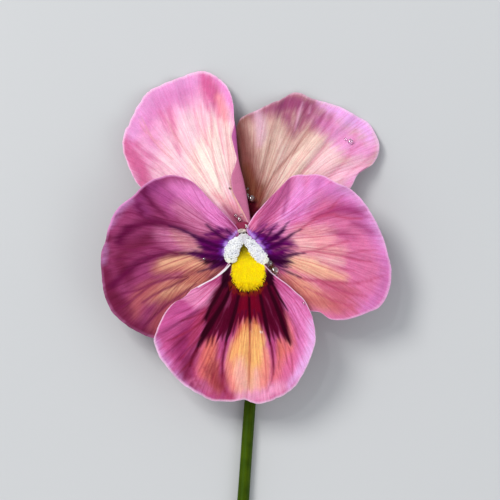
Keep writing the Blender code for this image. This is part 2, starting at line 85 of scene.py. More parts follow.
# The margins of the petals, from one end of the throat round to the other: x, y, height
UPPER_LEFT_MARGIN = (
    (-2.9, 2.7, 8.7), (-5.5, 3.6, 8.5), (-9.0, 4.9, 8.0), (-12.8, 7.0, 7.2), (-15.6, 8.7, 6.4),
    (-17.3, 9.7, 5.9), (-18.9, 11.6, 5.2), (-20.1, 14.5, 4.4), (-20.7, 16.5, 3.9),
    (-20.7, 18.4, 3.4), (-19.6, 21.2, 2.7), (-17.9, 24.5, 1.8), (-16.0, 26.7, 1.2),
    (-13.1, 28.1, 0.7), (-10.0, 29.3, 0.5), (-7.3, 30.0, 0.6), (-5.2, 29.25, 1.2),
    (-3.45, 27.85, 2.1), (-2.35, 26.1, 2.9), (-1.85, 24.0, 3.7), (-1.75, 22.0, 4.4),
)
UPPER_RIGHT_MARGIN = (
    (-1.0, 5.0, 7.2), (-2.3, 8.5, 6.5), (-2.9, 12.5, 5.6), (-2.6, 16.5, 4.5), (-1.7, 19.4, 3.6),
    (-0.5, 21.9, 2.9), (1.7, 23.0, 2.3), (4.1, 24.2, 1.8), (6.1, 25.0, 1.4), (8.0, 26.1, 1.0),
    (9.7, 26.2, 0.9), (11.6, 25.2, 0.9), (14.3, 24.5, 0.8), (16.7, 23.7, 0.7), (19.0, 22.5, 0.7),
    (21.2, 21.2, 0.6), (22.6, 19.2, 0.9), (23.2, 16.8, 1.4), (22.3, 14.3, 2.2), (20.7, 13.1, 2.8),
    (19.4, 12.1, 3.3), (18.2, 10.0, 4.0), (15.8, 7.8, 5.0), (11.5, 5.6, 6.2), (7.0, 3.8, 7.1),
    (3.4, 2.6, 7.6),
)
LATERAL_LEFT_MARGIN = (
    (-1.2, 3.0, 9.9), (-2.4, 4.4, 9.8), (-4.1, 6.1, 9.7), (-5.8, 7.8, 9.6), (-7.5, 9.7, 9.5),
    (-9.2, 11.1, 9.4), (-12.1, 12.0, 9.2), (-14.8, 11.5, 9.0), (-16.8, 10.5, 8.8),
    (-18.9, 8.5, 8.5), (-20.9, 6.9, 8.2), (-22.2, 5.2, 8.0), (-23.1, 2.9, 7.8), (-23.5, 0.9, 7.6),
    (-24.3, -1.4, 7.4), (-24.2, -4.8, 7.3), (-23.6, -8.7, 7.4), (-22.3, -11.4, 7.6),
    (-19.4, -13.8, 7.9), (-16.3, -15.4, 8.2), (-14.5, -15.5, 8.4), (-11.8, -13.6, 8.8),
    (-8.6, -10.6, 9.0), (-6.0, -7.2, 9.1), (-3.9, -4.8, 9.2), (-2.3, -3.1, 9.4),
)
LATERAL_RIGHT_MARGIN = (
    (0.5, 3.0, 9.9), (1.7, 5.1, 9.8), (2.9, 6.5, 9.8), (4.3, 8.1, 9.7), (6.0, 9.8, 9.7),
    (8.2, 11.9, 9.5), (10.4, 12.0, 9.3), (12.9, 12.1, 9.1), (15.5, 10.8, 8.8), (18.0, 9.7, 8.5),
    (20.2, 7.5, 8.2), (22.1, 4.6, 7.9), (23.6, 1.4, 7.6), (24.5, -1.7, 7.3), (25.0, -4.1, 7.2),
    (24.8, -7.0, 7.2), (23.5, -9.9, 7.5), (20.7, -11.5, 7.9), (17.5, -12.5, 8.2),
    (14.8, -12.5, 8.5), (12.9, -11.3, 8.8), (10.7, -10.9, 9.0), (8.4, -9.2, 9.2),
    (6.2, -6.5, 9.2), (4.2, -4.7, 9.3), (2.6, -3.0, 9.5),
)
LOWER_MARGIN = (
    (-1.9, -1.9, 10.0), (-2.6, -2.8, 10.5), (-3.1, -3.6, 10.8), (-4.1, -4.6, 11.1),
    (-5.4, -5.6, 11.3), (-7.1, -6.5, 11.4), (-9.0, -7.5, 11.4), (-10.2, -8.7, 11.3),
    (-11.9, -9.7, 11.2), (-13.4, -11.4, 11.0), (-14.6, -13.9, 10.8), (-15.3, -16.2, 10.5),
    (-14.3, -18.7, 10.0), (-12.6, -21.2, 9.4), (-10.7, -23.3, 8.8), (-8.2, -24.8, 8.3),
    (-6.1, -26.1, 7.9), (-3.2, -26.5, 7.7), (0.0, -26.2, 7.8), (2.2, -26.9, 7.6),
    (4.4, -26.4, 7.7), (6.9, -25.2, 8.0), (8.9, -23.6, 8.4), (10.4, -21.0, 9.0),
    (11.6, -18.2, 9.6), (12.1, -15.3, 10.1), (11.6, -12.1, 10.6), (10.4, -9.5, 10.9),
    (9.3, -8.4, 11.1), (7.0, -6.3, 11.2), (5.1, -5.0, 11.1), (3.9, -3.7, 10.8), (2.4, -2.2, 10.2),
)

# Paint of each petal, from the lowest layer up: name, colour, softness in millimetres, strength,
# how far it frays along the petal, and strokes as x, y, half width in pixels of the photo
UPPER_LEFT_PAINT = (
    ("lilac", (226, 152, 208), 2.6, 0.9, 0.35, (
        ((128, 141, 8), (137, 119, 11), (153, 98, 13), (178, 84, 12), (201, 77, 6)),
    )),
    ("orchid", (214, 124, 182), 2.4, 0.6, 0.5, (
        ((146, 128, 5), (152, 112, 7), (167, 97, 8), (190, 90, 7)),
        ((160, 110, 6), (172, 98, 7), (188, 103, 6)),
        ((158, 148, 3), (150, 138, 4)),
    )),
    ("right_lilac", (234, 142, 206), 1.2, 0.85, 0.2, (
        ((214, 77, 3), (226, 88, 5), (234, 104, 5), (238, 122, 3)),
    )),
    ("rose", (204, 98, 146), 2.2, 0.9, 0.6, (
        ((124, 140, 4), (128, 150, 8), (135, 162, 9), (142, 174, 8), (141, 184, 5)),
        ((136, 144, 3), (148, 154, 4), (158, 161, 2)),
        ((150, 168, 2), (160, 170, 1)),
    )),
    ("left_light", (242, 188, 222), 2.5, 0.5, 0.3, (
        ((144, 148, 3.5), (154, 151, 4)),
    )),
    ("blush", (247, 212, 221), 4.2, 0.95, 0.25, (
        ((166, 170, 12), (180, 154, 20), (192, 138, 24), (206, 134, 28), (208, 165, 32),
         (220, 190, 16)),
    )),
    ("cream", (248, 226, 216), 3.0, 0.95, 0.2, (
        ((219.5, 115, 2), (216, 129, 7), (211, 146, 15), (207, 166, 19), (213, 184, 11), (223, 197, 4)),
    )),
    ("ivory", (252, 238, 226), 2.4, 0.75, 0.2, (
        ((217, 128, 2), (215, 140, 5), (213, 152, 9), (210, 168, 12), (215, 184, 6)),
    )),
    ("deep_pink", (204, 86, 142), 1.8, 0.85, 0.6, (
        ((202, 72, 3), (207, 82, 8), (212, 92, 8), (217, 102, 5.5), (220, 114, 2.4)),
        ((202, 84, 3), (205, 96, 2.4), (208, 108, 1.2)),
        ((222, 104, 1.6), (224, 118, 1.2)),
    )),
    ("magenta", (212, 92, 146), 1.2, 0.62, 0.4, (
        ((168, 108, 2), (172, 120, 3), (174, 132, 3), (177, 144, 2), (180, 152, 0.8)),
        ((160, 112, 1.4), (166, 122, 2), (171, 132, 1.4)),
    )),
    ("coral", (244, 160, 168), 1.5, 0.78, 0.3, (
        ((218, 96, 3), (222, 107, 4.4), (224.5, 117, 3.6), (226, 126, 1.5)),
    )),
    ("right_peach", (250, 222, 212), 1.6, 0.85, 0.15, (
        ((226.5, 124, 2.5), (229, 136, 4), (231, 150, 5), (231, 164, 4.5), (229.5, 178, 3)),
    )),
    ("pink_streak", (236, 142, 172), 0.8, 0.55, 0.45, (
        ((199, 104, 1.4), (203, 122, 1.6), (206.5, 144, 0.6)),
        ((215, 110, 1.4), (219, 130, 2), (224, 154, 0.8)),
        ((193, 110, 0.9), (196, 124, 1), (199, 138, 0.4)),
        ((209, 108, 0.8), (211.5, 124, 0.9), (213, 138, 0.4)),
    )),
    ("peach", (238, 186, 162), 1.1, 0.8, 0.15, (
        ((232, 182, 2), (238, 197, 3.2), (244, 209, 3)),
    )),
    ("dusk_rose", (228, 158, 164), 2.0, 0.8, 0.5, (
        ((214, 194, 2), (224, 201, 4.6), (235, 209, 5), (243, 218, 4)),
    )),
    ("maroon", (138, 46, 76), 2.0, 0.92, 0.4, (
        ((224, 207, 1.5), (230, 213, 3.5), (236, 219, 6), (242, 227, 7)),
    )),
    ("tan_vein", (222, 158, 164), 0.45, 0.55, 0.15, (
        ((211, 110, 0.4), (211, 130, 0.9), (212.5, 150, 1.0), (216, 170, 1.0), (222, 192, 0.8)),
        ((224, 118, 0.4), (227, 140, 0.9), (229, 160, 0.9), (231, 180, 0.8), (234, 196, 0.6)),
        ((141, 117, 0.6), (146, 128, 1.1), (152, 139, 1.3), (161, 149, 1), (172, 159, 0.8)),
        ((139, 119, 0.4), (141, 126, 0.7), (146, 133, 0.9)),
        ((152, 139, 0.8), (160, 142, 0.8), (170, 152, 0.5)),
        ((166, 118, 0.3), (174, 134, 0.7), (186, 150, 0.8), (199, 168, 0.8), (207, 182, 0.5)),
        ((196, 112, 0.3), (200, 128, 0.5), (207, 142, 0.5), (212, 152, 0.3)),
        ((187, 135, 0.3), (192, 148, 0.6), (198, 162, 0.5)),
    )),
    ("rose_vein", (212, 110, 162), 0.8, 0.45, 0.25, (
        ((129, 141, 0.8), (137, 147, 1.3), (148, 155, 1.3), (160, 163, 1), (170, 170, 0.6)),
        ((131, 152, 0.8), (138, 160, 1), (146, 170, 1), (152, 180, 0.6)),
        ((127, 146, 0.6), (133, 157, 0.9), (139, 170, 0.9), (143, 180, 0.6)),
        ((150, 158, 0.6), (158, 166, 0.8), (166, 176, 0.5)),
        ((156, 110, 0.6), (162, 122, 0.8), (170, 138, 0.8), (180, 156, 0.6)),
    )),
    # painted highlight: a pale line along the free edge of the folded margin, where it catches the light
    ("crease_highlight", (252, 208, 186), 0.35, 0.85, 0.05, (
        ((231.3, 187, 0.5), (234.2, 195.5, 1.1), (238.5, 203.5, 1.2), (243, 211.5, 1), (247, 219, 0.8),
         (249.8, 224, 0.7)),
    )),
    ("speck", (84, 46, 36), 0.16, 0.95, 0.0, (
        ((229.4, 188.2, 0.9), (230.6, 188.7, 0.9)),
    )),
)
UPPER_RIGHT_PAINT = (
    ("tan", (212, 182, 168), 2.6, 0.85, 0.8, (
        ((262, 130, 7), (270, 146, 11), (267, 166, 10), (262, 184, 7)),
        ((283, 128, 5), (282, 148, 8), (276, 168, 8)),
    )),
    ("cream", (242, 214, 200), 3.0, 0.95, 0.7, (
        ((280, 182, 6), (292, 168, 12), (304, 154, 13), (313, 143, 9), (318, 134, 5)),
    )),
    ("pale_mid", (226, 200, 192), 2.0, 0.7, 0.5, (
        ((279, 134, 2.5), (281, 146, 4), (279, 158, 3)),
        ((312, 166, 3), (318, 160, 4), (325, 152, 3)),
    )),
    ("blush", (250, 212, 216), 2.8, 0.92, 0.35, (
        ((316, 172, 9), (326, 160, 12), (336, 146, 9)),
        ((335, 182, 7), (346, 174, 8)),
    )),
    ("pink", (238, 158, 214), 3.0, 0.9, 0.8, (
        ((318, 120, 6), (335, 128, 11), (350, 142, 12), (364, 150, 11), (372, 148, 6)),
        ((345, 188, 4), (355, 178, 7), (366, 168, 5)),
    )),
    ("shell", (252, 196, 220), 2.4, 0.85, 0.3, (
        ((330, 180, 5), (340, 172, 6), (352, 168, 7), (362, 160, 4)),
    )),
    ("lilac", (242, 176, 242), 2.2, 0.9, 0.35, (
        ((318, 103, 2.4), (327, 106, 4.4), (343, 112, 8), (358, 119, 9), (369, 129, 7), (374, 139, 4)),
    )),
    ("mauve", (152, 72, 114), 3.2, 0.94, 0.2, (
        ((253, 114, 2.6), (264, 110, 5), (278, 106, 8), (290, 102, 11), (300, 102, 10), (308, 105, 5)),
        ((287, 114, 6), (291, 124, 4), (293, 132, 2)),
    )),
    ("magenta", (162, 62, 120), 2.8, 0.86, 0.2, (
        ((316, 104, 3.5), (311, 110.5, 6), (306, 117, 4.8), (300.5, 125, 2.4)),
        ((324, 113, 2.4), (319, 120, 2.6), (314, 127, 1.4)),
        ((332, 116, 2), (327, 124, 2), (322, 131, 1)),
    )),
    ("mauve_streak", (150, 62, 108), 0.6, 0.42, 0.3, (
        ((287, 98, 1.4), (286, 106, 1.6), (285, 114, 0.8)),
        ((294, 95, 1.2), (292, 106, 1.6), (290, 118, 0.7)),
        ((300, 99, 1.2), (298, 110, 1.5), (295, 123, 0.7)),
        ((307.5, 102, 1.2), (304, 115, 1.7), (300, 130, 0.7)),
        ((313, 105, 1), (309, 116, 1.5), (304, 128, 0.7)),
        ((319, 107.5, 1), (315, 118, 1.4), (309, 131, 0.6)),
        ((325, 112, 0.8), (320, 122, 1.2), (314, 135, 0.5)),
        ((281, 102, 1), (279, 110, 1.2), (277, 118, 0.6)),
    )),
    # painted shadow: dark brown over the left side, cast by the folded margin of the upper left petal
    ("fold_shadow", (128, 70, 66), 3.4, 0.94, 0.4, (
        ((238, 121, 6.5), (241, 135, 9), (243.5, 152, 11), (247, 170, 12), (251, 188, 11),
         (256, 202, 7)),
        ((247, 114, 4), (242, 121, 6)),
    )),
    # painted shade: a darker olive brown deeper in the same shadow, towards the base
    ("shaded_olive", (118, 66, 48), 1.8, 0.9, 0.2, (
        ((246, 168, 4), (250, 184, 8), (255, 200, 9)),
        ((262, 186, 3), (259, 198, 5)),
    )),
    ("garnet", (86, 8, 30), 1.3, 0.97, 0.25, (
        ((248, 202, 5), (254, 211, 8), (253, 221, 7)),
    )),
    # painted highlight: a pale streak along a ridge that catches the light
    ("ridge_highlight", (222, 178, 202), 2.0, 0.76, 0.25, (
        ((257, 110, 3), (260, 119, 5), (261, 131, 4.5), (260, 143, 2)),
    )),
    # painted highlight: pale streaks on the crests of the small folds at the top
    ("fold_highlight", (228, 174, 206), 0.6, 0.6, 0.06, (
        ((303, 102, 0.7), (300, 111, 1.4), (297.5, 121, 1.2), (295, 130, 0.5)),
        ((311, 104, 0.4), (309, 112, 0.8)),
    )),
    ("buff", (216, 188, 172), 0.9, 0.55, 0.25, (
        ((279, 118, 0.8), (277, 135, 2), (273, 155, 2.5), (270, 172, 1.5)),
    )),
    ("brown_vein", (160, 84, 76), 0.7, 0.5, 0.25, (
        ((257, 206, 0.9), (264, 192, 1.1), (272, 178, 1.3), (281, 166, 1.3), (292, 153, 1.4),
         (303, 139, 1.2), (310, 128, 0.6)),
        ((263, 197, 0.7), (268, 178, 0.8), (275, 160, 0.8), (283, 143, 0.8), (291, 128, 0.6)),
        ((257, 200, 0.6), (261, 180, 0.7), (266, 160, 0.7), (271, 140, 0.5)),
        ((286, 159, 0.6), (298, 150, 0.8), (309, 136, 0.6), (316, 124, 0.5)),
    )),
    ("rose_vein", (208, 100, 142), 0.7, 0.45, 0.25, (
        ((300, 176, 0.6), (310, 164, 1), (319, 153, 1.1), (327, 142, 0.9), (334, 128, 0.4)),
        ((329, 178, 0.6), (338, 168, 1.1), (347, 158, 1.2), (353, 148, 1.1), (356, 136, 0.8),
         (358, 122, 0.4)),
        ((345, 160, 0.5), (354, 150, 0.7), (364, 142, 0.5)),
        ((338, 184, 0.5), (350, 172, 0.7), (364, 162, 0.6), (374, 152, 0.3)),
    )),
    # painted shade: a dark crescent where the curled margin shows its underside in shade
    ("curl_shade", (100, 30, 60), 0.15, 0.9, 0.0, (
        ((358, 175, 0.8), (364, 170.5, 1.6), (371, 166, 0.8)),
    )),
)
LATERAL_LEFT_PAINT = (
    ("lobe", (234, 136, 204), 2.8, 0.92, 0.25, (
        ((172, 188, 5), (184, 193, 9), (198, 201, 10), (210, 212, 10), (221, 223, 6), (230, 232, 2)),
    )),
    ("upper_plum", (182, 84, 150), 2.8, 0.85, 0.3, (
        ((152, 187, 5), (160, 192, 8), (168, 200, 8), (172, 208, 6)),
    )),
    ("lobe_vein", (184, 84, 148), 0.5, 0.6, 0.15, (
        ((197, 221, 0.8), (187, 209, 1.1), (177, 200, 1.1), (167, 193, 0.9)),
        ((209, 214, 0.5), (200, 203, 0.9), (190, 194, 0.8)),
        ((205, 222, 0.8), (193, 212, 1), (182, 206, 0.9), (172, 202, 0.6)),
    )),
    ("lobe_light", (234, 142, 206), 1.8, 0.6, 0.2, (
        ((190, 188, 4), (203, 200, 7), (214, 213, 6), (222, 224, 3)),
    )),
    ("dusk", (210, 126, 168), 2.6, 0.88, 0.6, (
        ((180, 207, 6), (190, 215, 9), (200, 224, 7), (207, 230, 4)),
        ((158, 233, 4), (172, 238, 8), (184, 241, 9), (193, 244, 6)),
    )),
    ("buff", (214, 152, 152), 1.8, 0.7, 0.5, (
        ((174, 234, 4), (186, 242, 7), (197, 249, 5)),
    )),
    ("tan", (197, 125, 109), 2.6, 0.92, 0.45, (
        ((222, 273, 3), (208, 272, 6), (194, 268, 9), (180, 265, 9), (168, 266, 7.5), (157, 269, 4)),
        ((212, 281, 3), (196, 283, 8), (180, 287, 11), (164, 291, 11), (148, 295, 8)),
    )),
    ("gold", (232, 176, 142), 1.8, 0.88, 0.35, (
        ((202, 264, 3), (190, 261, 6), (176, 261, 6), (162, 264, 4)),
        ((190, 286, 2), (176, 290, 3), (164, 294, 2)),
    )),
    ("tan_bright", (206, 134, 112), 1.4, 0.85, 0.4, (
        ((206, 279, 2.4), (196, 278, 4), (187, 279, 4)),
        ((178, 293, 2), (170, 297, 3)),
    )),
    ("rust", (172, 86, 94), 2.6, 0.88, 0.4, (
        ((190, 296, 6), (176, 307, 9), (163, 317, 10), (156, 330, 8)),
        ((150, 286, 6), (138, 298, 9), (134, 312, 8)),
    )),
    ("plum", (110, 26, 62), 2.6, 0.85, 0.7, (
        ((106, 240, 4), (104, 256, 6), (106, 276, 8), (110, 296, 9), (120, 314, 9), (133, 327, 8),
         (150, 336, 5)),
        ((150, 238, 4), (138, 246, 7), (124, 252, 8), (122, 264, 8), (126, 278, 7)),
    )),
    ("upper_wine", (130, 46, 104), 2.4, 0.82, 0.5, (
        ((158, 184, 4), (148, 190, 6), (138, 202, 7), (146, 212, 6)),
    )),
    ("south_plum", (106, 26, 58), 2.2, 0.7, 0.6, (
        ((108, 290, 4), (117, 300, 6), (127, 308, 5)),
    )),
    ("haze", (190, 130, 186), 1.6, 0.75, 0.2, (
        ((109, 226, 2.6), (114, 214, 5), (121, 206, 5), (130, 200, 2)),
        ((106, 246, 1.5), (103, 262, 2)),
    )),
    ("dark_band", (98, 10, 62), 1.5, 0.9, 0.6, (
        ((184, 231, 1.5), (172, 226, 2.6), (160, 223, 3.6), (148, 222.5, 4.4), (136, 226, 5),
         (126, 233, 5), (119, 242, 4)),
        ((184, 254, 1.4), (168, 254, 2), (154, 256, 2.6), (142, 261, 3.4), (132, 268, 3.6),
         (121, 277, 3.6), (112, 286, 3)),
        ((145, 190, 2.2), (149, 200, 2.6), (155, 208, 2.2), (162, 214, 1.4), (168, 219, 0.7)),
        ((139, 206, 2), (141, 214, 2.6), (144, 221, 2)),
    )),
    ("mauve_vein", (124, 32, 80), 0.5, 0.75, 0.15, (
        ((177, 254, 0.8), (160, 249, 1.1), (146, 248, 1), (128, 251, 0.8)),
        ((187, 276.5, 0.5), (178, 278, 1), (168, 279, 1.4), (154, 283, 1.5), (138, 290, 1.4),
         (122, 294, 1)),
        ((189, 278, 0.5), (172, 286, 0.9), (156, 294, 1.1), (142, 303, 1)),
        ((196, 284, 0.6), (182, 294, 1), (166, 306, 1.2), (153, 318, 1.1), (143, 327, 0.8)),
        ((180, 299, 0.6), (170, 311, 1), (160, 325, 0.8)),
        ((150, 256, 0.8), (137, 252, 1.1), (123, 249, 1), (110, 248, 0.6)),
        ((148, 222, 0.7), (137, 214, 1), (125, 213, 1.1), (114, 217, 0.8)),
        ((142, 261, 0.7), (129, 259, 1), (114, 260, 0.7)),
        ((154, 283, 0.6), (142, 292, 1), (128, 303, 1), (118, 309, 0.6)),
    )),
    ("purple", (96, 0, 88), 1.3, 0.98, 0.7, (
        ((233, 237, 3), (226, 243, 6), (217, 246, 7.5), (207, 244, 6), (200, 241, 3.4)),
        ((231, 233, 2.4), (223, 231, 3), (215, 233, 3.4), (207, 236, 2.6)),
        ((226, 256, 5), (216, 256, 6.4), (206, 256, 4.4), (197, 254, 2.6), (191, 251, 1.2)),
        ((228, 262, 3), (219, 265, 3.2), (210, 267, 1.6)),
    )),
    ("garnet", (46, 0, 38), 1.1, 0.92, 0.5, (
        ((227, 259, 2.4), (219, 261, 3.6), (210, 261, 3), (203, 260, 1.2)),
    )),
    ("violet_glow", (116, 44, 176), 1.1, 0.62, 0.3, (
        ((231, 236, 1.4), (225, 242, 2.4), (221, 249, 2.6), (221, 257, 2)),
    )),
    ("halo", (198, 156, 242), 0.7, 0.9, 0.1, (
        ((236.8, 231.5, 0.8), (231, 238.5, 1.3), (226, 245, 1.7), (224, 255, 1.6)),
    )),
    ("whisker", (62, 0, 60), 0.6, 0.9, 0.2, (
        ((222, 247, 1.6), (210, 243.5, 2.2), (198, 238.5, 2), (188, 233, 1.5), (179, 229, 1),
         (170, 226, 0.4)),
        ((228, 241, 1), (219, 235.5, 1.6), (211, 229, 1.4), (206, 224, 0.8)),
        ((231, 235, 0.8), (226.5, 229.5, 0.8)),
        ((224, 258, 1.6), (212, 256.5, 2.2), (200, 254.5, 1.9), (190, 253.5, 1.4), (180, 253.5, 0.4)),
        ((218, 251, 1.2), (207, 248.5, 1.4), (198, 247, 0.9)),
        ((226, 262, 1.6), (216, 266, 1.5), (206, 269.5, 1.1), (198, 272, 0.6)),
    )),
)
LATERAL_RIGHT_PAINT = (
    ("lilac", (242, 158, 226), 3.0, 0.9, 0.6, (
        ((300, 180, 4), (299, 194, 8), (293, 208, 9), (284, 220, 7), (276, 231, 4)),
        ((314, 182, 5), (308, 198, 7), (300, 214, 6)),
    )),
    ("orchid", (222, 134, 204), 3.2, 0.85, 0.7, (
        ((318, 182, 6), (338, 192, 9), (355, 204, 9), (370, 221, 9), (380, 240, 9), (386, 258, 7),
         (388, 278, 6), (381, 297, 6), (366, 309, 5)),
    )),
    ("haze", (222, 162, 216), 1.8, 0.7, 0.25, (
        ((340, 186, 3), (354, 195, 5), (366, 208, 5), (376, 225, 4), (384, 245, 3)),
    )),
    ("inner_light", (244, 172, 210), 2.6, 0.6, 0.5, (
        ((280, 223, 3), (290, 231, 4.5), (300, 240, 3)),
        ((318, 228, 3), (330, 232, 4), (322, 248, 3)),
    )),
    ("mid_light", (240, 158, 172), 2.4, 0.8, 0.5, (
        ((311, 246, 3), (321, 252, 4), (332, 256, 3)),
        ((298, 287, 3), (308, 291, 4), (318, 294, 3)),
        ((326, 228, 3), (334, 232, 3)),
    )),
    ("shadow_lobe", (184, 88, 144), 2.2, 0.88, 0.4, (
        ((288, 181, 3.4), (282, 190, 6.5), (276, 201, 7.5), (269, 213, 6.5), (262, 223, 4)),
    )),
    # painted shade: a dark line along the crease of the upper lobe
    ("crease_shade", (160, 70, 130), 0.9, 0.7, 0.15, (
        ((289, 180, 1), (288, 192, 1.6), (286, 203, 1.8), (283, 214, 1.2)),
    )),
    ("lobe_streak", (214, 112, 182), 1.2, 0.55, 0.5, (
        ((294, 222, 1), (303, 208, 1.6), (314, 192, 1.8), (320, 180, 1)),
        ((290, 218, 0.8), (298, 206, 1.4), (304, 194, 1)),
        ((308, 214, 1), (320, 202, 1.6), (330, 190, 1.2)),
    )),
    ("rosewood", (158, 44, 108), 2.4, 0.86, 0.35, (
        ((316, 218, 1.5), (326, 213, 3.4), (338, 209.5, 5.6), (350, 210, 6), (362, 214, 4.6)),
        ((352, 222.5, 1.4), (361, 226, 2.2), (371, 232, 1.6)),
        ((332, 232, 0.8), (344, 234, 1.2), (356, 238, 1)),
    )),
    ("salmon", (243, 172, 178), 2.8, 0.92, 0.7, (
        ((296, 248, 6), (308, 243, 10), (322, 246, 10), (338, 253, 8)),
        ((298, 232, 4), (312, 234, 8), (326, 240, 7)),
    )),
    ("shell", (248, 198, 196), 1.8, 0.88, 0.25, (
        ((292, 241, 2), (300, 243, 4.5), (311, 246, 4)),
        ((300, 257, 2), (314, 258.5, 3.4), (330, 261, 3.4), (342, 263, 2)),
    )),
    ("peach", (240, 180, 152), 2.4, 0.92, 0.6, (
        ((289, 264, 4), (302, 266, 8), (316, 270, 9), (330, 274, 7), (342, 277, 4)),
        ((290, 274, 3), (300, 282, 6), (312, 291, 6), (324, 298, 4)),
    )),
    ("apricot", (250, 204, 168), 1.8, 0.8, 0.5, (
        ((289, 259, 2), (298, 262, 5), (310, 266, 6), (322, 270, 4)),
    )),
    ("terracotta", (224, 144, 126), 2.2, 0.85, 0.35, (
        ((284, 278, 3), (296, 287, 7), (308, 296, 8), (322, 303, 7), (336, 307, 5)),
    )),
    ("coral_rose", (202, 100, 122), 2.4, 0.85, 0.7, (
        ((328, 292, 6), (345, 297, 8), (336, 308, 6), (352, 308, 5)),
        ((322, 285, 3), (338, 287, 5), (352, 291, 5)),
    )),
    ("low_rose", (196, 104, 108), 2.0, 0.75, 0.5, (
        ((308, 300, 3), (320, 302, 5), (334, 304, 4)),
    )),
    ("far_mauve", (200, 112, 170), 1.8, 0.7, 0.5, (
        ((384, 270, 3), (384, 284, 5), (376, 300, 4)),
    )),
    # painted shadow that the lower petal casts on this petal
    ("lower_petal_shadow", (146, 70, 76), 1.3, 0.85, 0.15, (
        ((281, 278, 2), (291, 289, 3.5), (301, 300, 4), (308, 309, 3)),
    )),
    ("salmon_vein", (188, 70, 110), 0.6, 0.68, 0.3, (
        ((303, 253, 0.6), (314, 251.5, 1.2), (326, 253, 1.3), (342, 256, 1.3), (356, 260, 1.2),
         (370, 262, 0.8)),
        ((298, 277, 1.1), (308, 280, 1.4), (322, 281.5, 1.5), (336, 283, 1.6), (350, 283.5, 1.5),
         (364, 282, 1.1), (376, 278, 0.7), (386, 274, 0.4)),
        ((300, 230, 0.8), (310, 222.5, 1.2), (320, 216.5, 1.7), (332, 214, 1.9)),
        ((314, 251, 0.5), (330, 246, 0.8), (348, 241, 0.8)),
        ((318, 282, 0.6), (334, 288, 1), (350, 294, 1), (368, 297, 0.6)),
        ((306, 288, 0.5), (320, 295, 0.9), (336, 302, 0.9), (352, 306, 0.5)),
        ((326, 214, 0.5), (336, 203, 0.9), (342, 196, 0.5)),
        ((342, 256, 0.5), (358, 252, 0.8), (376, 250, 0.4)),
        ((332, 214, 0.8), (346, 218, 1.1), (360, 219, 1)),
        ((320, 262, 0.3), (338, 268, 0.6), (354, 271, 0.5)),
    )),
    ("purple_out", (158, 60, 134), 1.1, 0.72, 0.5, (
        ((282, 240, 3), (290, 243, 4), (297, 246, 2)),
        ((268, 230, 3), (277, 226, 2)),
        ((258, 230, 2.4), (264, 225, 2)),
    )),
    ("purple", (96, 0, 88), 1.3, 0.98, 0.7, (
        ((250, 233, 2.2), (258, 236, 4.6), (266, 239, 5.4), (275, 236.5, 4), (281, 231, 2)),
        ((261, 246, 4), (270, 246, 6.5), (280, 245, 5), (290, 243, 2.4)),
        ((266, 253, 5), (276, 254, 5.6), (286, 252.5, 3.4), (294, 251, 1.2)),
        ((270, 259, 4), (279, 261, 4.6), (287, 262, 2.2)),
        ((257, 233, 1.4), (259, 227, 0.6)),
        ((263, 233, 1.8), (266, 226, 0.7)),
        ((270, 232, 1.8), (275, 226, 0.8)),
    )),
    ("garnet", (46, 1, 38), 1.1, 0.92, 0.5, (
        ((268, 257, 2.4), (275, 260.5, 4), (283, 261.5, 3.4), (290, 262, 1.4)),
    )),
    ("violet_glow", (116, 44, 178), 1.1, 0.62, 0.3, (
        ((251, 233, 1.4), (258, 237.5, 2.4), (265, 244.5, 2.4), (270, 251, 1.6)),
    )),
    # painted shade under the water drops, for the dark brown their refraction shows
    ("under_drop_shade", (120, 82, 52), 0.7, 0.95, 0.2, (
        ((266, 260, 2.6), (271, 267, 3.2), (276, 273, 2)),
    )),
    ("halo", (198, 156, 242), 0.7, 0.9, 0.1, (
        ((247.8, 229.5, 0.8), (253.2, 237, 1.7), (258, 242.8, 2.2), (262.4, 248.6, 2.1),
         (265.2, 253.6, 1.4)),
    )),
    ("whisker", (64, 0, 64), 0.6, 0.9, 0.2, (
        ((266, 244, 1.4), (274, 238.5, 2.1), (281, 232, 1.6), (286, 225.5, 1), (289, 221, 0.4)),
        ((266, 250, 1.4), (276, 245, 2.1), (286, 239, 2), (294, 233.5, 1.4), (301, 229.5, 0.4)),
        ((268, 258, 1.8), (278, 257.3, 2.3), (288, 256, 2.1), (297, 254.5, 1.6), (304, 253.3, 0.5)),
        ((276, 264, 1.3), (284, 267, 1.4), (291, 268, 0.5)),
        ((278, 268, 1), (286, 271.5, 1.3), (294, 275, 0.9), (301, 278, 0.4)),
        ((256, 239, 0.9), (261, 233, 1), (264, 228.5, 0.4)),
        ((262, 243, 1), (267, 237, 1.2), (271, 231, 0.9), (274, 226.5, 0.4)),
        ((276, 250, 0.9), (285, 247.5, 1), (291, 246.5, 0.4)),
    )),
)
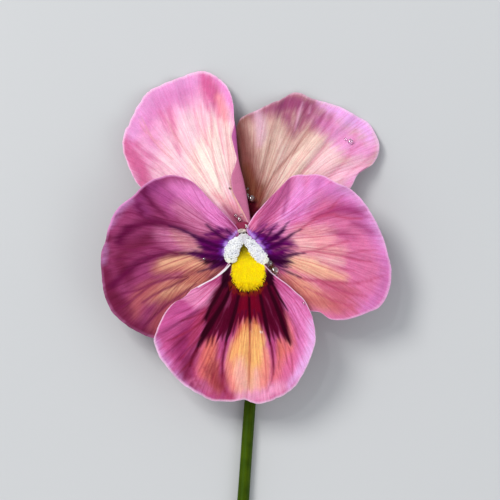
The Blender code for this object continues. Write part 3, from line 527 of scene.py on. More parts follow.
LOWER_PAINT = (
    ("left_orchid", (200, 88, 152), 2.2, 0.85, 0.6, (
        ((192, 300, 6), (183, 307, 8), (173, 317, 8), (163, 330, 6)),
    )),
    ("left_magenta", (146, 36, 94), 2.4, 0.78, 0.8, (
        ((196, 322, 5), (188, 334, 9), (181, 348, 8), (184, 360, 4.5)),
    )),
    ("lobe_vein", (132, 34, 92), 0.55, 0.5, 0.25, (
        ((207, 318, 1), (195, 326, 1.1), (182, 338, 1), (172, 352, 0.7)),
        ((205, 330, 0.9), (194, 345, 1.1), (186, 362, 0.9)),
        ((211, 306, 0.9), (196, 312, 1.1), (180, 322, 1), (165, 331, 0.6)),
        ((219, 297, 0.6), (203, 304, 0.8), (187, 310, 0.9), (172, 315, 0.6)),
        ((196, 326, 0.7), (184, 330, 0.8), (168, 341, 0.7)),
        ((188, 338, 0.6), (176, 346, 0.8), (166, 353, 0.5)),
        ((192, 344, 0.7), (180, 356, 0.8), (174, 366, 0.5)),
    )),
    ("right_vein", (196, 84, 158), 0.55, 0.45, 0.25, (
        ((278, 300, 0.7), (290, 311, 0.9), (302, 325, 0.9), (311, 341, 0.6)),
        ((283, 314, 0.7), (294, 330, 0.9), (302, 346, 0.8), (305, 360, 0.5)),
        ((288, 340, 0.6), (294, 352, 0.8), (296, 368, 0.6)),
        ((290, 311, 0.5), (303, 315, 0.7), (313, 322, 0.5)),
    )),
    ("left_rose", (178, 64, 106), 1.4, 0.85, 0.8, (
        ((204, 310, 3), (200, 320, 4.5), (196, 332, 5), (192, 342, 3)),
    )),
    ("shoulder_light", (242, 154, 200), 1.6, 0.92, 0.4, (
        ((194, 304, 3.5), (202, 301.5, 5), (209, 296, 3.5)),
        ((188, 296, 3), (196, 293, 3)),
    )),
    ("right_orchid", (238, 140, 202), 3.0, 0.9, 0.35, (
        ((283, 295, 4), (294, 305, 8), (304, 320, 10), (308, 338, 10), (304, 355, 9), (292, 375, 9)),
    )),
    ("right_haze", (242, 188, 244), 1.8, 0.85, 0.35, (
        ((311, 322, 3), (313, 342, 5), (309, 357, 6), (300, 372, 5), (288, 385, 4)),
    )),
    ("left_haze", (222, 150, 215), 1.6, 0.8, 0.35, (
        ((155, 341, 3), (160, 354, 4), (168, 366, 3.5)),
        ((176, 374, 3), (186, 384, 3.5), (198, 391, 3)),
    )),
    ("shoulder_pink", (238, 146, 194), 1.3, 0.92, 0.5, (
        ((188, 297, 4), (198, 295, 6), (208, 292, 6), (216, 287, 3)),
        ((203, 302, 5), (209, 298, 4)),
    )),
    ("dusky", (222, 114, 108), 2.0, 0.9, 0.8, (
        ((211, 342, 6), (208, 358, 9), (207, 374, 9), (216, 388, 7)),
    )),
    ("lower_mauve", (186, 78, 124), 2.2, 0.8, 0.4, (
        ((202, 386, 5), (214, 394, 4), (228, 399, 3)),
    )),
    ("plum_edge", (128, 32, 72), 1.7, 0.85, 0.4, (
        ((195, 352, 3), (190, 363, 5), (187, 375, 6), (195, 386, 4)),
        ((174, 344, 2), (184, 338, 2.4)),
    )),
    ("salmon", (242, 130, 134), 1.8, 0.9, 0.7, (
        ((284, 314, 2), (288, 330, 5), (287, 346, 8), (284, 362, 8), (278, 380, 6)),
    )),
    ("right_rose", (232, 116, 168), 1.8, 0.85, 0.35, (
        ((292, 356, 4), (288, 368, 6), (282, 382, 5)),
    )),
    ("tangerine", (228, 126, 106), 1.2, 0.7, 0.5, (
        ((213, 340, 4), (211, 352, 5), (209, 362, 4)),
        ((216, 362, 3), (215, 376, 3)),
        ((279, 342, 3), (281, 352, 4)),
    )),
    ("orange", (250, 182, 118), 1.4, 0.98, 0.7, (
        ((247, 318, 1.5), (245, 330, 6), (246, 342, 12), (247, 354, 18), (248, 368, 20),
         (248, 382, 16)),
        ((253, 318, 1.5), (256, 330, 5), (259, 340, 6)),
    )),
    ("copper", (200, 84, 66), 1.5, 0.8, 0.8, (
        ((238, 316, 2.4), (240, 326, 3), (238, 334, 2.4)),
        ((247, 316, 3), (247, 324, 2.4)),
        ((256, 316, 2.4), (257, 326, 3), (260, 334, 2.4)),
    )),
    ("apricot", (255, 204, 124), 1.6, 0.7, 0.25, (
        ((256, 328, 3), (257, 342, 7), (258, 354, 8), (257, 364, 6)),
        ((244, 334, 2), (243, 350, 4), (243, 362, 4)),
    )),
    ("rose_peach", (250, 186, 174), 2.4, 0.9, 0.3, (
        ((240, 362, 4), (240, 378, 9), (244, 390, 9)),
        ((257, 374, 5), (258, 385, 8)),
    )),
    ("flush", (245, 142, 138), 1.6, 0.8, 0.3, (
        ((266, 352, 3), (266, 368, 5), (264, 384, 5)),
        ((229, 364, 3), (229, 376, 4), (233, 388, 4)),
    )),
    ("wine", (146, 44, 60), 2.0, 0.7, 0.6, (
        ((208, 368, 2), (214, 378, 4), (221, 388, 4), (231, 397, 3)),
        ((223, 374, 1.2), (227, 384, 1.6)),
    )),
    ("bottom_pink", (248, 166, 204), 1.8, 0.9, 0.4, (
        ((240, 397, 3), (252, 397, 6), (266, 394, 6), (280, 388, 6)),
    )),
    ("low_wine", (146, 42, 56), 2.4, 0.6, 0.5, (
        ((213, 364, 2.6), (218, 373, 4.6), (221, 384, 4)),
    )),
    ("dusky_vein", (146, 44, 76), 0.4, 0.5, 0.2, (
        ((213, 340, 0.6), (208, 352, 0.8), (203, 364, 0.7), (198, 372, 0.4)),
        ((218, 344, 0.6), (216, 358, 0.8), (214, 372, 0.7), (210, 384, 0.4)),
        ((208, 352, 0.4), (212, 364, 0.6), (211, 376, 0.4)),
        ((222, 350, 0.5), (222, 366, 0.7), (226, 380, 0.5)),
        ((203, 364, 0.4), (207, 374, 0.5), (207, 384, 0.3)),
        ((200, 345, 0.6), (194, 358, 0.7), (190, 368, 0.4)),
        ((276, 340, 0.5), (279, 354, 0.6), (278, 368, 0.4)),
        ((283, 338, 0.5), (286, 350, 0.6), (287, 364, 0.4)),
        ((272, 346, 0.4), (273, 360, 0.5), (271, 374, 0.4)),
    )),
    ("low_rose", (204, 104, 148), 1.4, 0.8, 0.4, (
        ((192, 380, 2.4), (200, 386, 4), (208, 391, 2.4)),
    )),
    ("crimson", (112, 0, 32), 1.3, 0.98, 0.8, (
        ((247, 284, 17), (247, 298, 18), (246, 307, 15), (246, 313, 9)),
        ((237, 310, 6), (233, 322, 4.5), (230, 332, 2.5)),
        ((259, 310, 6), (264, 322, 4.5), (267, 332, 2.2)),
    )),
    ("maroon", (82, 0, 34), 1.3, 0.97, 0.8, (
        ((231, 276, 5), (226, 288, 8), (219.5, 301, 9.3), (215, 314, 10), (211, 326, 8.3),
         (207, 334, 4.2)),
        ((238, 293, 4), (231, 307, 6.5), (225, 321, 7), (220, 331, 5)),
        ((264, 275, 5), (270, 290, 7.5), (275, 304, 8.4), (279, 316, 7.8), (283, 328, 5.6),
         (287.5, 338, 2.4)),
        ((262, 298, 4), (268, 313, 6), (274, 326, 5), (277, 332, 3)),
    )),
    ("fringe_dark", (92, 4, 42), 0.4, 0.92, 0.12, (
        ((206, 330, 2), (203, 340, 1.3), (200, 348, 0.4)),
        ((211, 331, 1.8), (208, 341, 1.1), (206, 348, 0.2)),
        ((216, 330, 1.8), (213, 339, 1.1), (212, 346, 0.2)),
        ((221, 329, 1.8), (218, 337, 1.1), (216, 344, 0.2)),
        ((226, 328, 1.6), (223, 336, 1), (222, 342, 0.2)),
        ((238, 314, 1.6), (235, 325, 1), (232, 336, 0.2)),
        ((242, 312, 1.4), (240, 320, 0.9), (239, 328, 0.2)),
        ((245.5, 310, 1.2), (245, 318, 0.7), (244.5, 323, 0.2)),
        ((254, 310, 1.2), (255, 318, 0.7), (255.5, 323, 0.2)),
        ((258, 313, 1.4), (261, 322, 0.9), (262.5, 330, 0.2)),
        ((263, 318, 1.4), (266, 328, 1), (268, 338, 0.2)),
        ((271, 326, 1.6), (273, 335, 1), (275, 342, 0.2)),
        ((276, 328, 1.6), (278, 336, 1.1), (280.5, 343, 0.2)),
        ((281, 328, 1.6), (284, 336, 1.1), (286, 342, 0.2)),
    )),
    ("dark_ray", (50, 0, 22), 0.35, 0.95, 0.1, (
        ((248.5, 287, 1), (249, 303, 1.1), (249.6, 318, 1.1), (249.8, 330, 0.7)),
        ((240, 290, 1.4), (236, 308, 1.8), (231, 324, 2), (227, 337, 1.5), (225, 345, 1.1)),
        ((232, 284, 1.4), (225, 300, 2), (216, 316, 2.6), (207, 330, 2.8), (200, 342, 1.8),
         (196, 351, 1.2)),
        ((259, 289, 1.2), (262, 305, 1.6), (265.5, 322, 1.9), (269, 336, 1.4), (270.5, 345, 1)),
        ((267, 284, 1.2), (273, 298, 1.9), (279, 314, 2.1), (284, 329, 2), (288, 340, 1.3),
         (290.5, 346, 0.4)),
        ((226, 281, 1.4), (217, 297, 1.8), (210, 309, 1.6), (206, 320, 1.2)),
        ((273, 284, 1), (279.5, 297, 1.3), (284, 305, 0.9), (288, 311, 0.3)),
    )),
    ("ray_tail", (112, 14, 50), 0.4, 0.88, 0.1, (
        ((225.5, 343, 1.2), (223.5, 354, 1.2), (222, 365, 1), (222, 376, 0.6)),
        ((197, 349, 1.3), (192.5, 358, 1.4), (190, 366, 1)),
        ((270.5, 343, 1.1), (272.3, 354, 1), (273.5, 364, 0.9), (273.5, 374, 0.5)),
    )),
    ("thin_vein", (150, 36, 62), 0.5, 0.62, 0.3, (
        ((222, 374, 0.6), (223, 384, 0.8), (226, 392, 0.6)),
        ((273.5, 372, 0.5), (271, 382, 0.6), (267, 391, 0.4)),
        ((222, 362, 0.4), (214, 374, 0.6), (211, 388, 0.5)),
        ((191, 362, 0.7), (194, 374, 0.9), (200, 388, 0.7)),
        ((191, 362, 0.6), (182, 371, 0.8), (176, 377, 0.5)),
        ((200, 338, 0.6), (188, 350, 0.9), (178, 362, 0.7)),
        ((203, 322, 0.6), (190, 330, 1), (176, 338, 0.9), (166, 342, 0.5)),
        ((205, 312, 0.6), (192, 318, 0.9), (180, 322, 0.6)),
        ((287, 312, 0.5), (294, 324, 0.7), (299, 340, 0.5)),
        ((289, 348, 0.5), (292, 360, 0.6), (292, 374, 0.4)),
    )),
    ("mid_vein", (178, 78, 70), 0.35, 0.7, 0.1, (
        ((249.8, 324, 0.9), (250, 340, 0.7), (250, 356, 0.6), (249.5, 374, 0.6), (249, 390, 0.4)),
    )),
    ("throat_dark", (44, 0, 24), 0.6, 0.95, 0.2, (
        ((231, 264, 2), (226, 274, 4), (225, 284, 4)),
        ((266, 262, 2), (270, 272, 3.5), (270, 282, 4)),
        ((233, 284, 2), (240, 289, 2.4), (248, 291, 2.4), (257, 289, 2.4), (265, 283, 2)),
    )),
    ("ember", (164, 66, 4), 0.5, 0.65, 0.6, (
        ((230.5, 281, 0.5), (233.5, 286.5, 1.3), (239.5, 290, 1.6), (247, 291.4, 1.7),
         (254.5, 290.2, 1.6), (260.8, 286.8, 1.3), (264.5, 281, 0.5)),
    )),
    ("yellow_rim", (120, 26, 14), 0.4, 0.8, 0.3, (
        ((228.6, 283, 0.8), (232, 290, 1), (239, 294, 1), (247, 295.4, 1), (255, 294.2, 1),
         (262.5, 290, 1), (266.4, 283, 0.8)),
    )),
    ("yellow", (255, 230, 0), 0.35, 1.0, 0.25, (
        ((244.5, 251, 3), (245, 257, 7), (246.5, 264, 12), (248, 269.5, 16.6), (248.3, 272.5, 16)),
    )),
    # painted shade: the tip of the yellow turns olive where it runs into the shade of the throat
    ("shaded_olive", (190, 160, 0), 0.8, 0.85, 0.15, (
        ((243.5, 248, 3), (244, 253, 4)),
    )),
    # painted highlight: thin white lines where the curled margins catch the light
    ("edge_highlight", (250, 247, 250), 0.1, 1.0, 0.02, (
        ((230, 265, 0.6), (224, 271, 0.95), (216, 277, 0.8), (207, 282, 0.7), (198, 287, 0.5)),
        ((266, 262, 0.8), (272, 270, 1), (278, 275, 0.8)),
    )),
    # painted glint: a tiny white highlight
    ("glint_speck", (250, 238, 224), 0.16, 0.9, 0.0, (
        ((260.7, 331.6, 0.9), (261.6, 332.3, 0.9)),
    )),
)

# Each petal: the two ends of its edge at the throat, its margin, how many points of the margin
# are its sides, how far it is domed, its ripples (depth, how many, where they start), the path of
# its claw with radii, its ground colour, its paint, the colour of its underside, the tints of its
# fold (darker than the underside, with painted shade), the layers of paint that hide the fine veins
# and those that hide the rim, the colour of the rim (its paler edge with a painted highlight of
# the light that the thin edge catches), the tint of the fine veins, the strength and tint of the
# web between them, how rough its margin is, and the relief that goes with its markings (layer,
# height, softness)
PETALS = {
    "petal_upper_left": {
        "lip": ((-2.0, 2.4, 8.8), (0.0, 3.6, 8.8)),
        "margin": UPPER_LEFT_MARGIN,
        "sides": (5, 1),
        "dome": 0.5,
        "ripples": (0.30, 6.5, 0.3),
        "claw": ((-1.4, 2.7, 6.8, 0.42), (-1.3, 2.9, 7.8, 0.45), (-1.2, 3.5, 8.55, 0.5)),
        "ground": (240, 172, 210),
        "paint": UPPER_LEFT_PAINT,
        "under": (214, 138, 192),
        # the fold strip shows the underside's colour, darkened as painted shade on the strip
        "fold_tints": (("fold", (188, 106, 142)), ("fold_top", (176, 88, 148))),
        "bare": ("maroon", "crease_highlight"),
        "bare_rim": (),
        "rim": (252, 205, 235),
        "veins": (244, 206, 222),
        "web": 0.15,
        "web_tint": (232, 160, 190),
        "scallops": 1.8,
        "relief": (("deep_pink", -0.12, 0.6), ("magenta", -0.12, 0.7), ("ivory", 0.15, 1.0),
                   ("rose_vein", -0.08, 0.4), ("tan_vein", -0.06, 0.3)),
    },
    "petal_upper_right": {
        "lip": ((0.2, 3.5, 7.5), (2.2, 2.4, 7.5)),
        "margin": UPPER_RIGHT_MARGIN,
        "sides": (3, 4),
        "dome": 0.4,
        "ripples": (0.30, 7.0, 1.1),
        "claw": ((1.2, 2.6, 6.8, 0.40), (1.3, 2.9, 7.0, 0.42), (1.4, 3.5, 7.25, 0.4)),
        "ground": (214, 174, 164),
        "paint": UPPER_RIGHT_PAINT,
        "under": (212, 132, 176),
        "bare": ("garnet",),
        "bare_rim": ("fold_shadow", "mauve", "garnet", "magenta"),
        "rim": (248, 205, 238),
        "veins": (228, 186, 196),
        "web": 0.25,
        "web_tint": (214, 140, 160),
        "scallops": 1.4,
        "relief": (("ridge_highlight", 0.22, 0.8), ("fold_shadow", -0.20, 1.2), ("fold_highlight", 0.14, 0.4),
                   ("magenta", -0.12, 0.8), ("brown_vein", -0.10, 0.5), ("rose_vein", -0.08, 0.4)),
    },
    "petal_lateral_left": {
        "lip": ((-0.9, 2.0, 10.0), (-1.9, -0.9, 10.0)),
        "margin": LATERAL_LEFT_MARGIN,
        "sides": (3, 3),
        "dome": 0.3,
        "ripples": (0.28, 6.0, 2.0),
        "claw": ((-1.9, 0.4, 6.8, 0.42), (-1.9, 0.4, 8.6, 0.45), (-1.9, 0.4, 9.8, 0.55)),
        "ground": (152, 60, 108),
        "paint": LATERAL_LEFT_PAINT,
        "under": (190, 118, 170),
        "bare": ("purple", "whisker"),
        "bare_rim": ("plum", "purple"),
        "rim": (226, 150, 205),
        "veins": (200, 130, 170),
        "web": 0.30,
        "web_tint": (186, 110, 150),
        "scallops": 1.2,
        "relief": (("dark_band", -0.20, 0.9), ("mauve_vein", -0.09, 0.4), ("buff", 0.12, 0.8),
                   ("lobe", 0.10, 1.2)),
    },
    "petal_lateral_right": {
        "lip": ((0.6, 2.1, 10.0), (1.9, -0.9, 10.0)),
        "margin": LATERAL_RIGHT_MARGIN,
        "sides": (4, 4),
        "dome": 0.3,
        "ripples": (0.28, 6.5, 0.7),
        "claw": ((1.9, 0.4, 6.8, 0.42), (1.9, 0.4, 8.6, 0.45), (1.9, 0.4, 9.8, 0.55)),
        "ground": (222, 122, 168),
        "paint": LATERAL_RIGHT_PAINT,
        "under": (206, 128, 184),
        "bare": ("purple", "whisker", "garnet"),
        "bare_rim": ("purple",),
        "rim": (246, 190, 232),
        "veins": (224, 160, 188),
        "web": 0.30,
        "web_tint": (206, 130, 166),
        "scallops": 1.3,
        "relief": (("lilac", 0.16, 0.9), ("shadow_lobe", -0.18, 0.8), ("rosewood", -0.10, 0.8),
                   ("salmon_vein", -0.09, 0.4)),
    },
    "petal_lower": {
        "lip": ((-1.0, -0.8, 9.4), (1.2, -0.8, 9.4)),
        "margin": LOWER_MARGIN,
        "sides": (7, 7),
        "dome": 0.2,
        "ripples": (0.26, 7.5, 0.0),
        "claw": ((0.0, -1.05, 6.8, 0.38), (0.0, -1.35, 7.3, 0.42), (0.0, -2.0, 8.0, 0.45)),
        "ground": (200, 88, 148),
        "paint": LOWER_PAINT,
        "under": (212, 140, 176),
        "bare": ("yellow", "shaded_olive", "maroon", "crimson", "throat_dark", "edge_highlight", "dark_ray"),
        "bare_rim": (),
        "rim": (250, 214, 240),
        "veins": (214, 140, 166),
        "web": 0.36,
        "web_tint": (190, 104, 140),
        "scallops": 1.9,
        "relief": (("dark_ray", -0.12, 0.4), ("orange", 0.12, 0.9), ("yellow", 0.30, 0.8),
                   ("thin_vein", -0.08, 0.3)),
    },
}

# Where the right margin of the upper left petal is folded forward over its face: share of the
# way from throat to margin, x of the bend's outer edge, and width of the fold seen from above
FOLD_LINE = (
    (0.0, 1.2, 0.3), (0.04, 1.12, 0.5), (0.11, 0.95, 0.95), (0.18, 0.72, 1.4), (0.28, 0.43, 2.1),
    (0.34, 0.22, 2.25), (0.44, -0.15, 2.0), (0.525, -0.58, 1.05), (0.58, -0.83, 0.5),
    (0.62, -0.97, 0.26), (0.69, -1.08, 0.5), (0.74, -1.15, 0.66), (0.81, -1.25, 0.86),
    (0.88, -1.35, 0.5), (0.93, -1.42, 0.26), (1.0, -1.58, 0.2),
)
FOLD_INNER = np.array([0.6, 0.3])  # widest bend of the face: sideways and upwards
FOLD_TIGHT = 0.06  # the tightest bend, as a share of the widest
FOLD_SPREAD = 12  # the higher, the narrower the strip of face that follows the bend
FOLD_ARC = 20  # columns of the bend
FOLD_FLAT = 20  # and of the flat strip after it
FOLD_RIM = (0.05, 0.1, 0.16, 0.25)  # paleness of the strip's last columns

# The spur of the lower petal, from the throat back to the flat tip that it rests on: x, y,
# height, radius
SPUR = (
    (0.0, -2.0, 9.1, 0.9), (0.0, -2.3, 7.6, 1.1), (0.0, -2.45, 5.6, 1.0), (0.0, -2.6, 3.6, 1.0),
    (0.0, -2.75, 2.0, 1.15), (0.0, -2.85, 0.9, 1.1), (0.0, -2.9, 0.3, 0.85), (0.0, -2.9, 0.0, 0.6),
)

# The swollen foot of the upper left petal, across the throat behind the stigma, likewise. Its dark maroon
# is partly the petal's base and partly painted shade that fills the throat.
UPPER_FOOT = (
    (-1.7, 3.2, 8.9, 0.3), (-1.0, 3.1, 8.9, 0.9), (-0.2, 2.9, 8.9, 1.25), (0.7, 2.8, 8.9, 1.1),
    (1.4, 2.9, 8.9, 0.3),
)

# The beards: x, y, half width of the strip of petal that each grows on
BEARDS = {
    "beard_left": (
        (-0.15, 2.0, 0.2), (-0.6, 1.2, 0.6), (-1.25, 0.5, 0.9), (-1.85, -0.3, 1.1),
        (-2.2, -1.4, 1.1), (-2.2, -2.2, 0.9), (-2.2, -2.8, 0.5),
    ),
    "beard_right": (
        (0.0, 2.0, 0.2), (0.5, 1.15, 0.6), (1.3, 0.1, 0.85), (2.05, -0.95, 0.95),
        (2.85, -1.85, 0.92), (3.35, -2.55, 0.75), (3.6, -2.95, 0.4),
    ),
}
BEARD_CELLS = 30  # steps along a beard
BEARD_HAIRS = 900
BEARD_HEIGHT = 10.35
BEARD_HAIR = (0.055, 0.070, 0.095, 0.110, 0.055)  # a hair's radii from its root to its tip

# The yellow patch: x, y, half width; and its tongue, which reaches up between the beards
THROAT_PATCH = (
    (0.05, 0.4, 0.25), (0.1, -0.6, 0.6), (0.15, -1.6, 1.1), (0.35, -2.8, 1.95), (0.6, -4.0, 2.62),
    (0.72, -5.0, 2.82), (0.72, -5.9, 2.5), (0.70, -6.6, 1.9), (0.65, -7.0, 1.1),
)
THROAT_TONGUE = (
    (0.05, 0.6, 9.25, 0.2), (0.05, 0.1, 9.3, 0.5), (0.1, -0.6, 9.3, 0.75), (0.15, -1.4, 9.3, 0.9),
)
TONGUE_FLAT = 0.6  # its height, as a share of its width
THROAT_HAIRS = 1600
THROAT_HAIR = (0.090, 0.095, 0.088, 0.062, 0.024)
HAIR_SIDES = 6

# Sepals: the way each points, and its profile from the tip of the ear behind it to its point:
# distance from the middle of the seat, height, half width
SEAT_X, SEAT_Y = 0.0, 1.0
SEPAL_WAYS = {
    "sepal_upper": 90, "sepal_right": 18, "sepal_left": 162,
    "sepal_lower_right": 318, "sepal_lower_left": 222,
}
SEPAL_PROFILE = (
    (2.9, 3.9, 0.30), (2.5, 4.5, 0.65), (2.2, 5.2, 0.75), (2.35, 5.75, 0.8), (2.9, 6.1, 0.95),
    (4.0, 6.15, 1.3), (5.8, 5.9, 1.6), (7.8, 5.4, 1.5), (9.8, 4.75, 1.1), (11.4, 4.15, 0.6),
    (12.6, 3.7, 0.12),
)
SEPAL_THICKNESS = 0.45
SEPAL_BULGE = 0.06  # how far the middle of its rim stands out
SEPAL_CELLS = (72, 24, 2)  # its rows and columns, and how much coarser its back is
GREEN_VEIN = (58, 92, 22)
GREEN_RIM = (186, 204, 128)

# The stem: x, y, height, radius, from its cut end to the underside of the seat
STEM = (
    (-1.6, -72.0, 1.05, 1.08), (-1.2, -62.0, 1.06, 1.06), (-0.6, -50.0, 1.08, 1.05),
    (0.2, -38.0, 1.06, 1.02), (0.9, -28.0, 1.05, 1.0), (1.7, -18.0, 1.02, 1.0),
    (2.5, -9.0, 1.0, 0.98), (2.85, -3.6, 1.0, 0.97), (2.85, -1.0, 1.1, 0.95),
    (2.55, 0.9, 1.4, 0.92), (1.7, 2.2, 2.0, 0.9), (0.75, 2.3, 2.9, 0.9), (0.15, 1.6, 3.8, 0.92),
    (0.0, 1.1, 4.7, 1.05), (0.0, 1.0, 5.3, 1.45), (0.0, 1.0, 5.9, 1.7), (0.0, 1.0, 6.5, 1.75),
)
STEM_SIDES = 40
STEM_CUT = ((0.86, 0.02), (0.55, 0.10), (0.2, 0.14))  # the cut's rings: share of radius, depth
PITH = (0.0, 0.4, 0.9, 0.9)  # paleness of the cut, from its edge inwards

# The bracts: where each stands and its side, and from there outwards, onwards, height, radius
BRACT_PLACES = ((2.2, -11.5, 1), (2.35, -10.3, -1))
BRACT = (
    (0.5, -0.4, 1.25, 0.26), (1.1, 0.2, 1.55, 0.36), (1.5, 1.2, 1.75, 0.33), (1.75, 2.0, 1.85, 0.2),
    (1.95, 2.75, 1.95, 0.05),
)

# The pistil: seed case, bent style and round stigma
PISTIL = (
    (0.0, 1.0, 6.8, 0.35), (0.0, 1.0, 7.1, 0.58), (0.0, 1.0, 7.7, 0.66), (0.0, 1.0, 8.3, 0.5),
    (0.0, 1.05, 8.7, 0.26), (0.0, 1.3, 9.1, 0.2), (-0.1, 1.8, 9.35, 0.22), (-0.2, 2.2, 9.5, 0.42),
    (-0.3, 2.45, 9.7, 0.58), (-0.35, 2.6, 9.95, 0.56), (-0.4, 2.7, 10.15, 0.34), (-0.4, 2.7, 10.2, 0.06),
)
STIGMA = np.array([-0.3, 2.5, 9.8])
STIGMA_STRETCH = np.array([0.45, -0.25, -0.1])  # it is broader than it is long
STIGMA_HOLLOW = np.array([-0.1, 2.1, 10.0])

# The stamens: how many, inner and outer radius of their cone, and its foot and top
STAMEN_COUNT = 5
STAMEN_INNER = 0.96
STAMEN_OUTER = 1.3
STAMEN_BASE = 6.8
STAMEN_TOP = 9.0

# Water drops: the petal that each lies on, x, y, radius
DROPS = (
    ("petal_upper_right", 18.2, 17.9, 0.46), ("petal_upper_right", 17.4, 18.3, 0.28),
    ("petal_upper_right", 1.25, 8.0, 0.62), ("petal_upper_right", 0.55, 8.6, 0.34),
    ("petal_upper_right", 0.6, 9.7, 0.24), ("petal_upper_left", -1.4, 5.1, 0.34),
    ("petal_upper_left", -0.8, 4.5, 0.42), ("petal_upper_left", -0.5, 5.2, 0.26),
    ("petal_lateral_right", 5.2, -4.2, 0.72), ("petal_lateral_right", 4.3, -2.9, 0.55),
    ("petal_lateral_right", 0.5, 3.3, 0.34), ("petal_lateral_right", 4.9, -5.0, 0.22),
    ("petal_lateral_right", 5.6, -5.3, 0.18), ("petal_lateral_right", 6.1, -5.8, 0.16),
    ("petal_lower", 10.1, -9.7, 0.24),
    ("petal_lateral_left", -6.8, -2.2, 0.24),
)

# Floor, light and camera, in metres: each light's name, place, size, power and colour
FLOOR_HALF = 2000.0  # in millimetres
SKY_COLOUR = (0.93, 0.96, 1.0, 1.0)
SKY_STRENGTH = 0.60
LIGHTS = (
    ("key", (-0.42, 0.40, 0.62), 0.34, 4.4, (1.0, 0.985, 0.96)),
    ("fill", (0.55, -0.25, 0.55), 0.5, 0.8, (0.96, 0.98, 1.0)),
    ("sparkle", (-0.18, 0.30, 0.75), 0.03, 0.35, (1.0, 1.0, 1.0)),
)
CAMERA_HEIGHT = 0.8
PETAL_HEIGHT = 0.009
VIEW_WIDTH = 0.085
VIEW_CENTRE = (0.0010, 0.0022)


# Curves

def smooth_curve(points, steps):
    """Points along a smooth curve through the given ones, with steps between each two."""
    rows = [np.array(p, float) for p in points]
    rows = [2 * rows[0] - rows[1]] + rows + [2 * rows[-1] - rows[-2]]
    curve = []
    for a, b, c, d in zip(rows, rows[1:], rows[2:], rows[3:]):
        for k in range(steps):
            u = k / steps
            curve.append(
                0.5 * (2 * b + (c - a) * u + (2 * a - 5 * b + 4 * c - d) * u ** 2
                       + (3 * b - a - 3 * c + d) * u ** 3)
            )
    curve.append(rows[-2])
    return np.array(curve)


def even_curve(points, cells):
    """The smooth curve through the points, read at equal lengths along it."""
    curve = smooth_curve(points, CURVE_STEPS)
    lengths = np.linalg.norm(np.diff(curve[:, :3], axis=0), axis=1)
    along = np.concatenate([[0.0], np.cumsum(lengths)])
    wanted = np.linspace(0.0, along[-1], cells + 1)
    return np.stack([np.interp(wanted, along, curve[:, k]) for k in range(curve.shape[1])], 1)


def spline_weights(cells, fine):
    """Weights that read a smooth curve through cells + 1 values at fine + 1 even places."""
    weights = np.zeros((fine + 1, cells + 1))
    for k in range(fine + 1):
        place = k * cells / fine
        i = min(int(place), cells - 1)
        u = place - i
        shares = (
            0.5 * (-u + 2 * u ** 2 - u ** 3), 0.5 * (2 - 5 * u ** 2 + 3 * u ** 3),
            0.5 * (u + 4 * u ** 2 - 3 * u ** 3), 0.5 * (u ** 3 - u ** 2),
        )
        for share, m in zip(shares, range(i - 1, i + 3)):
            if m < 0:
                weights[k, 0] += 2 * share
                weights[k, 1] -= share
            elif m > cells:
                weights[k, cells] += 2 * share
                weights[k, cells - 1] -= share
            else:
                weights[k, m] += share
    return weights


def smooth_step(low, high, value):
    u = np.clip((value - low) / (high - low), 0.0, 1.0)
    return u * u * (3 - 2 * u)


def unit(vector):
    vector = np.asarray(vector, float)
    return vector / max(np.linalg.norm(vector), 1e-9)


def value_noise(x, y, seed):
    """Smooth noise from -1 to 1 that changes over about one unit of x and of y."""
    size = 512
    lattice = np.random.default_rng(seed).uniform(-1.0, 1.0, (size, size))
    x, y = np.broadcast_arrays(x, y)
    i, j = np.floor(x).astype(int), np.floor(y).astype(int)
    u, v = x - i, y - j
    u, v = u * u * (3 - 2 * u), v * v * (3 - 2 * v)
    i, j, k, m = i % size, j % size, (i + 1) % size, (j + 1) % size
    low = lattice[i, j] * (1 - u) + lattice[k, j] * u
    high = lattice[i, m] * (1 - u) + lattice[k, m] * u
    return low * (1 - v) + high * v


# The petals' form, as the CAD has it, read more finely

def ripple(share, depth, count, start):
    """Height of the ripples of a margin, dying away towards both ends of it."""
    fade = math.sin(math.pi * share) ** 0.6 if 0 < share < 1 else 0.0
    first = math.sin(2 * math.pi * (count * share + start))
    second = math.sin(2 * math.pi * (count * 1.7 * share + 2 * start))
    return depth * fade * (first + 0.5 * second)


def ease(grid):
    """Moves the inner points of a grid until its rows and columns spread evenly and never cross."""
    for _ in range(EASING):
        down = (grid[2:, 1:-1] - grid[:-2, 1:-1]) / 2
        over = (grid[1:-1, 2:] - grid[1:-1, :-2]) / 2
        twist = (grid[2:, 2:] - grid[:-2, 2:] - grid[2:, :-2] + grid[:-2, :-2]) / 4
        a = np.sum(over[..., :2] ** 2, axis=2, keepdims=True)
        b = np.sum(over[..., :2] * down[..., :2], axis=2, keepdims=True)
        c = np.sum(down[..., :2] ** 2, axis=2, keepdims=True)
        pull = a * (grid[2:, 1:-1] + grid[:-2, 1:-1]) + c * (grid[1:-1, 2:] + grid[1:-1, :-2])
        wanted = (pull - 2 * b * twist) / np.maximum(2 * (a + c), 1e-9)
        grid[1:-1, 1:-1] += 0.6 * (wanted - grid[1:-1, 1:-1])


def margin_part(petal):
    first, last = petal["sides"]
    return petal["margin"][first - 1 : len(petal["margin"]) - last + 1]


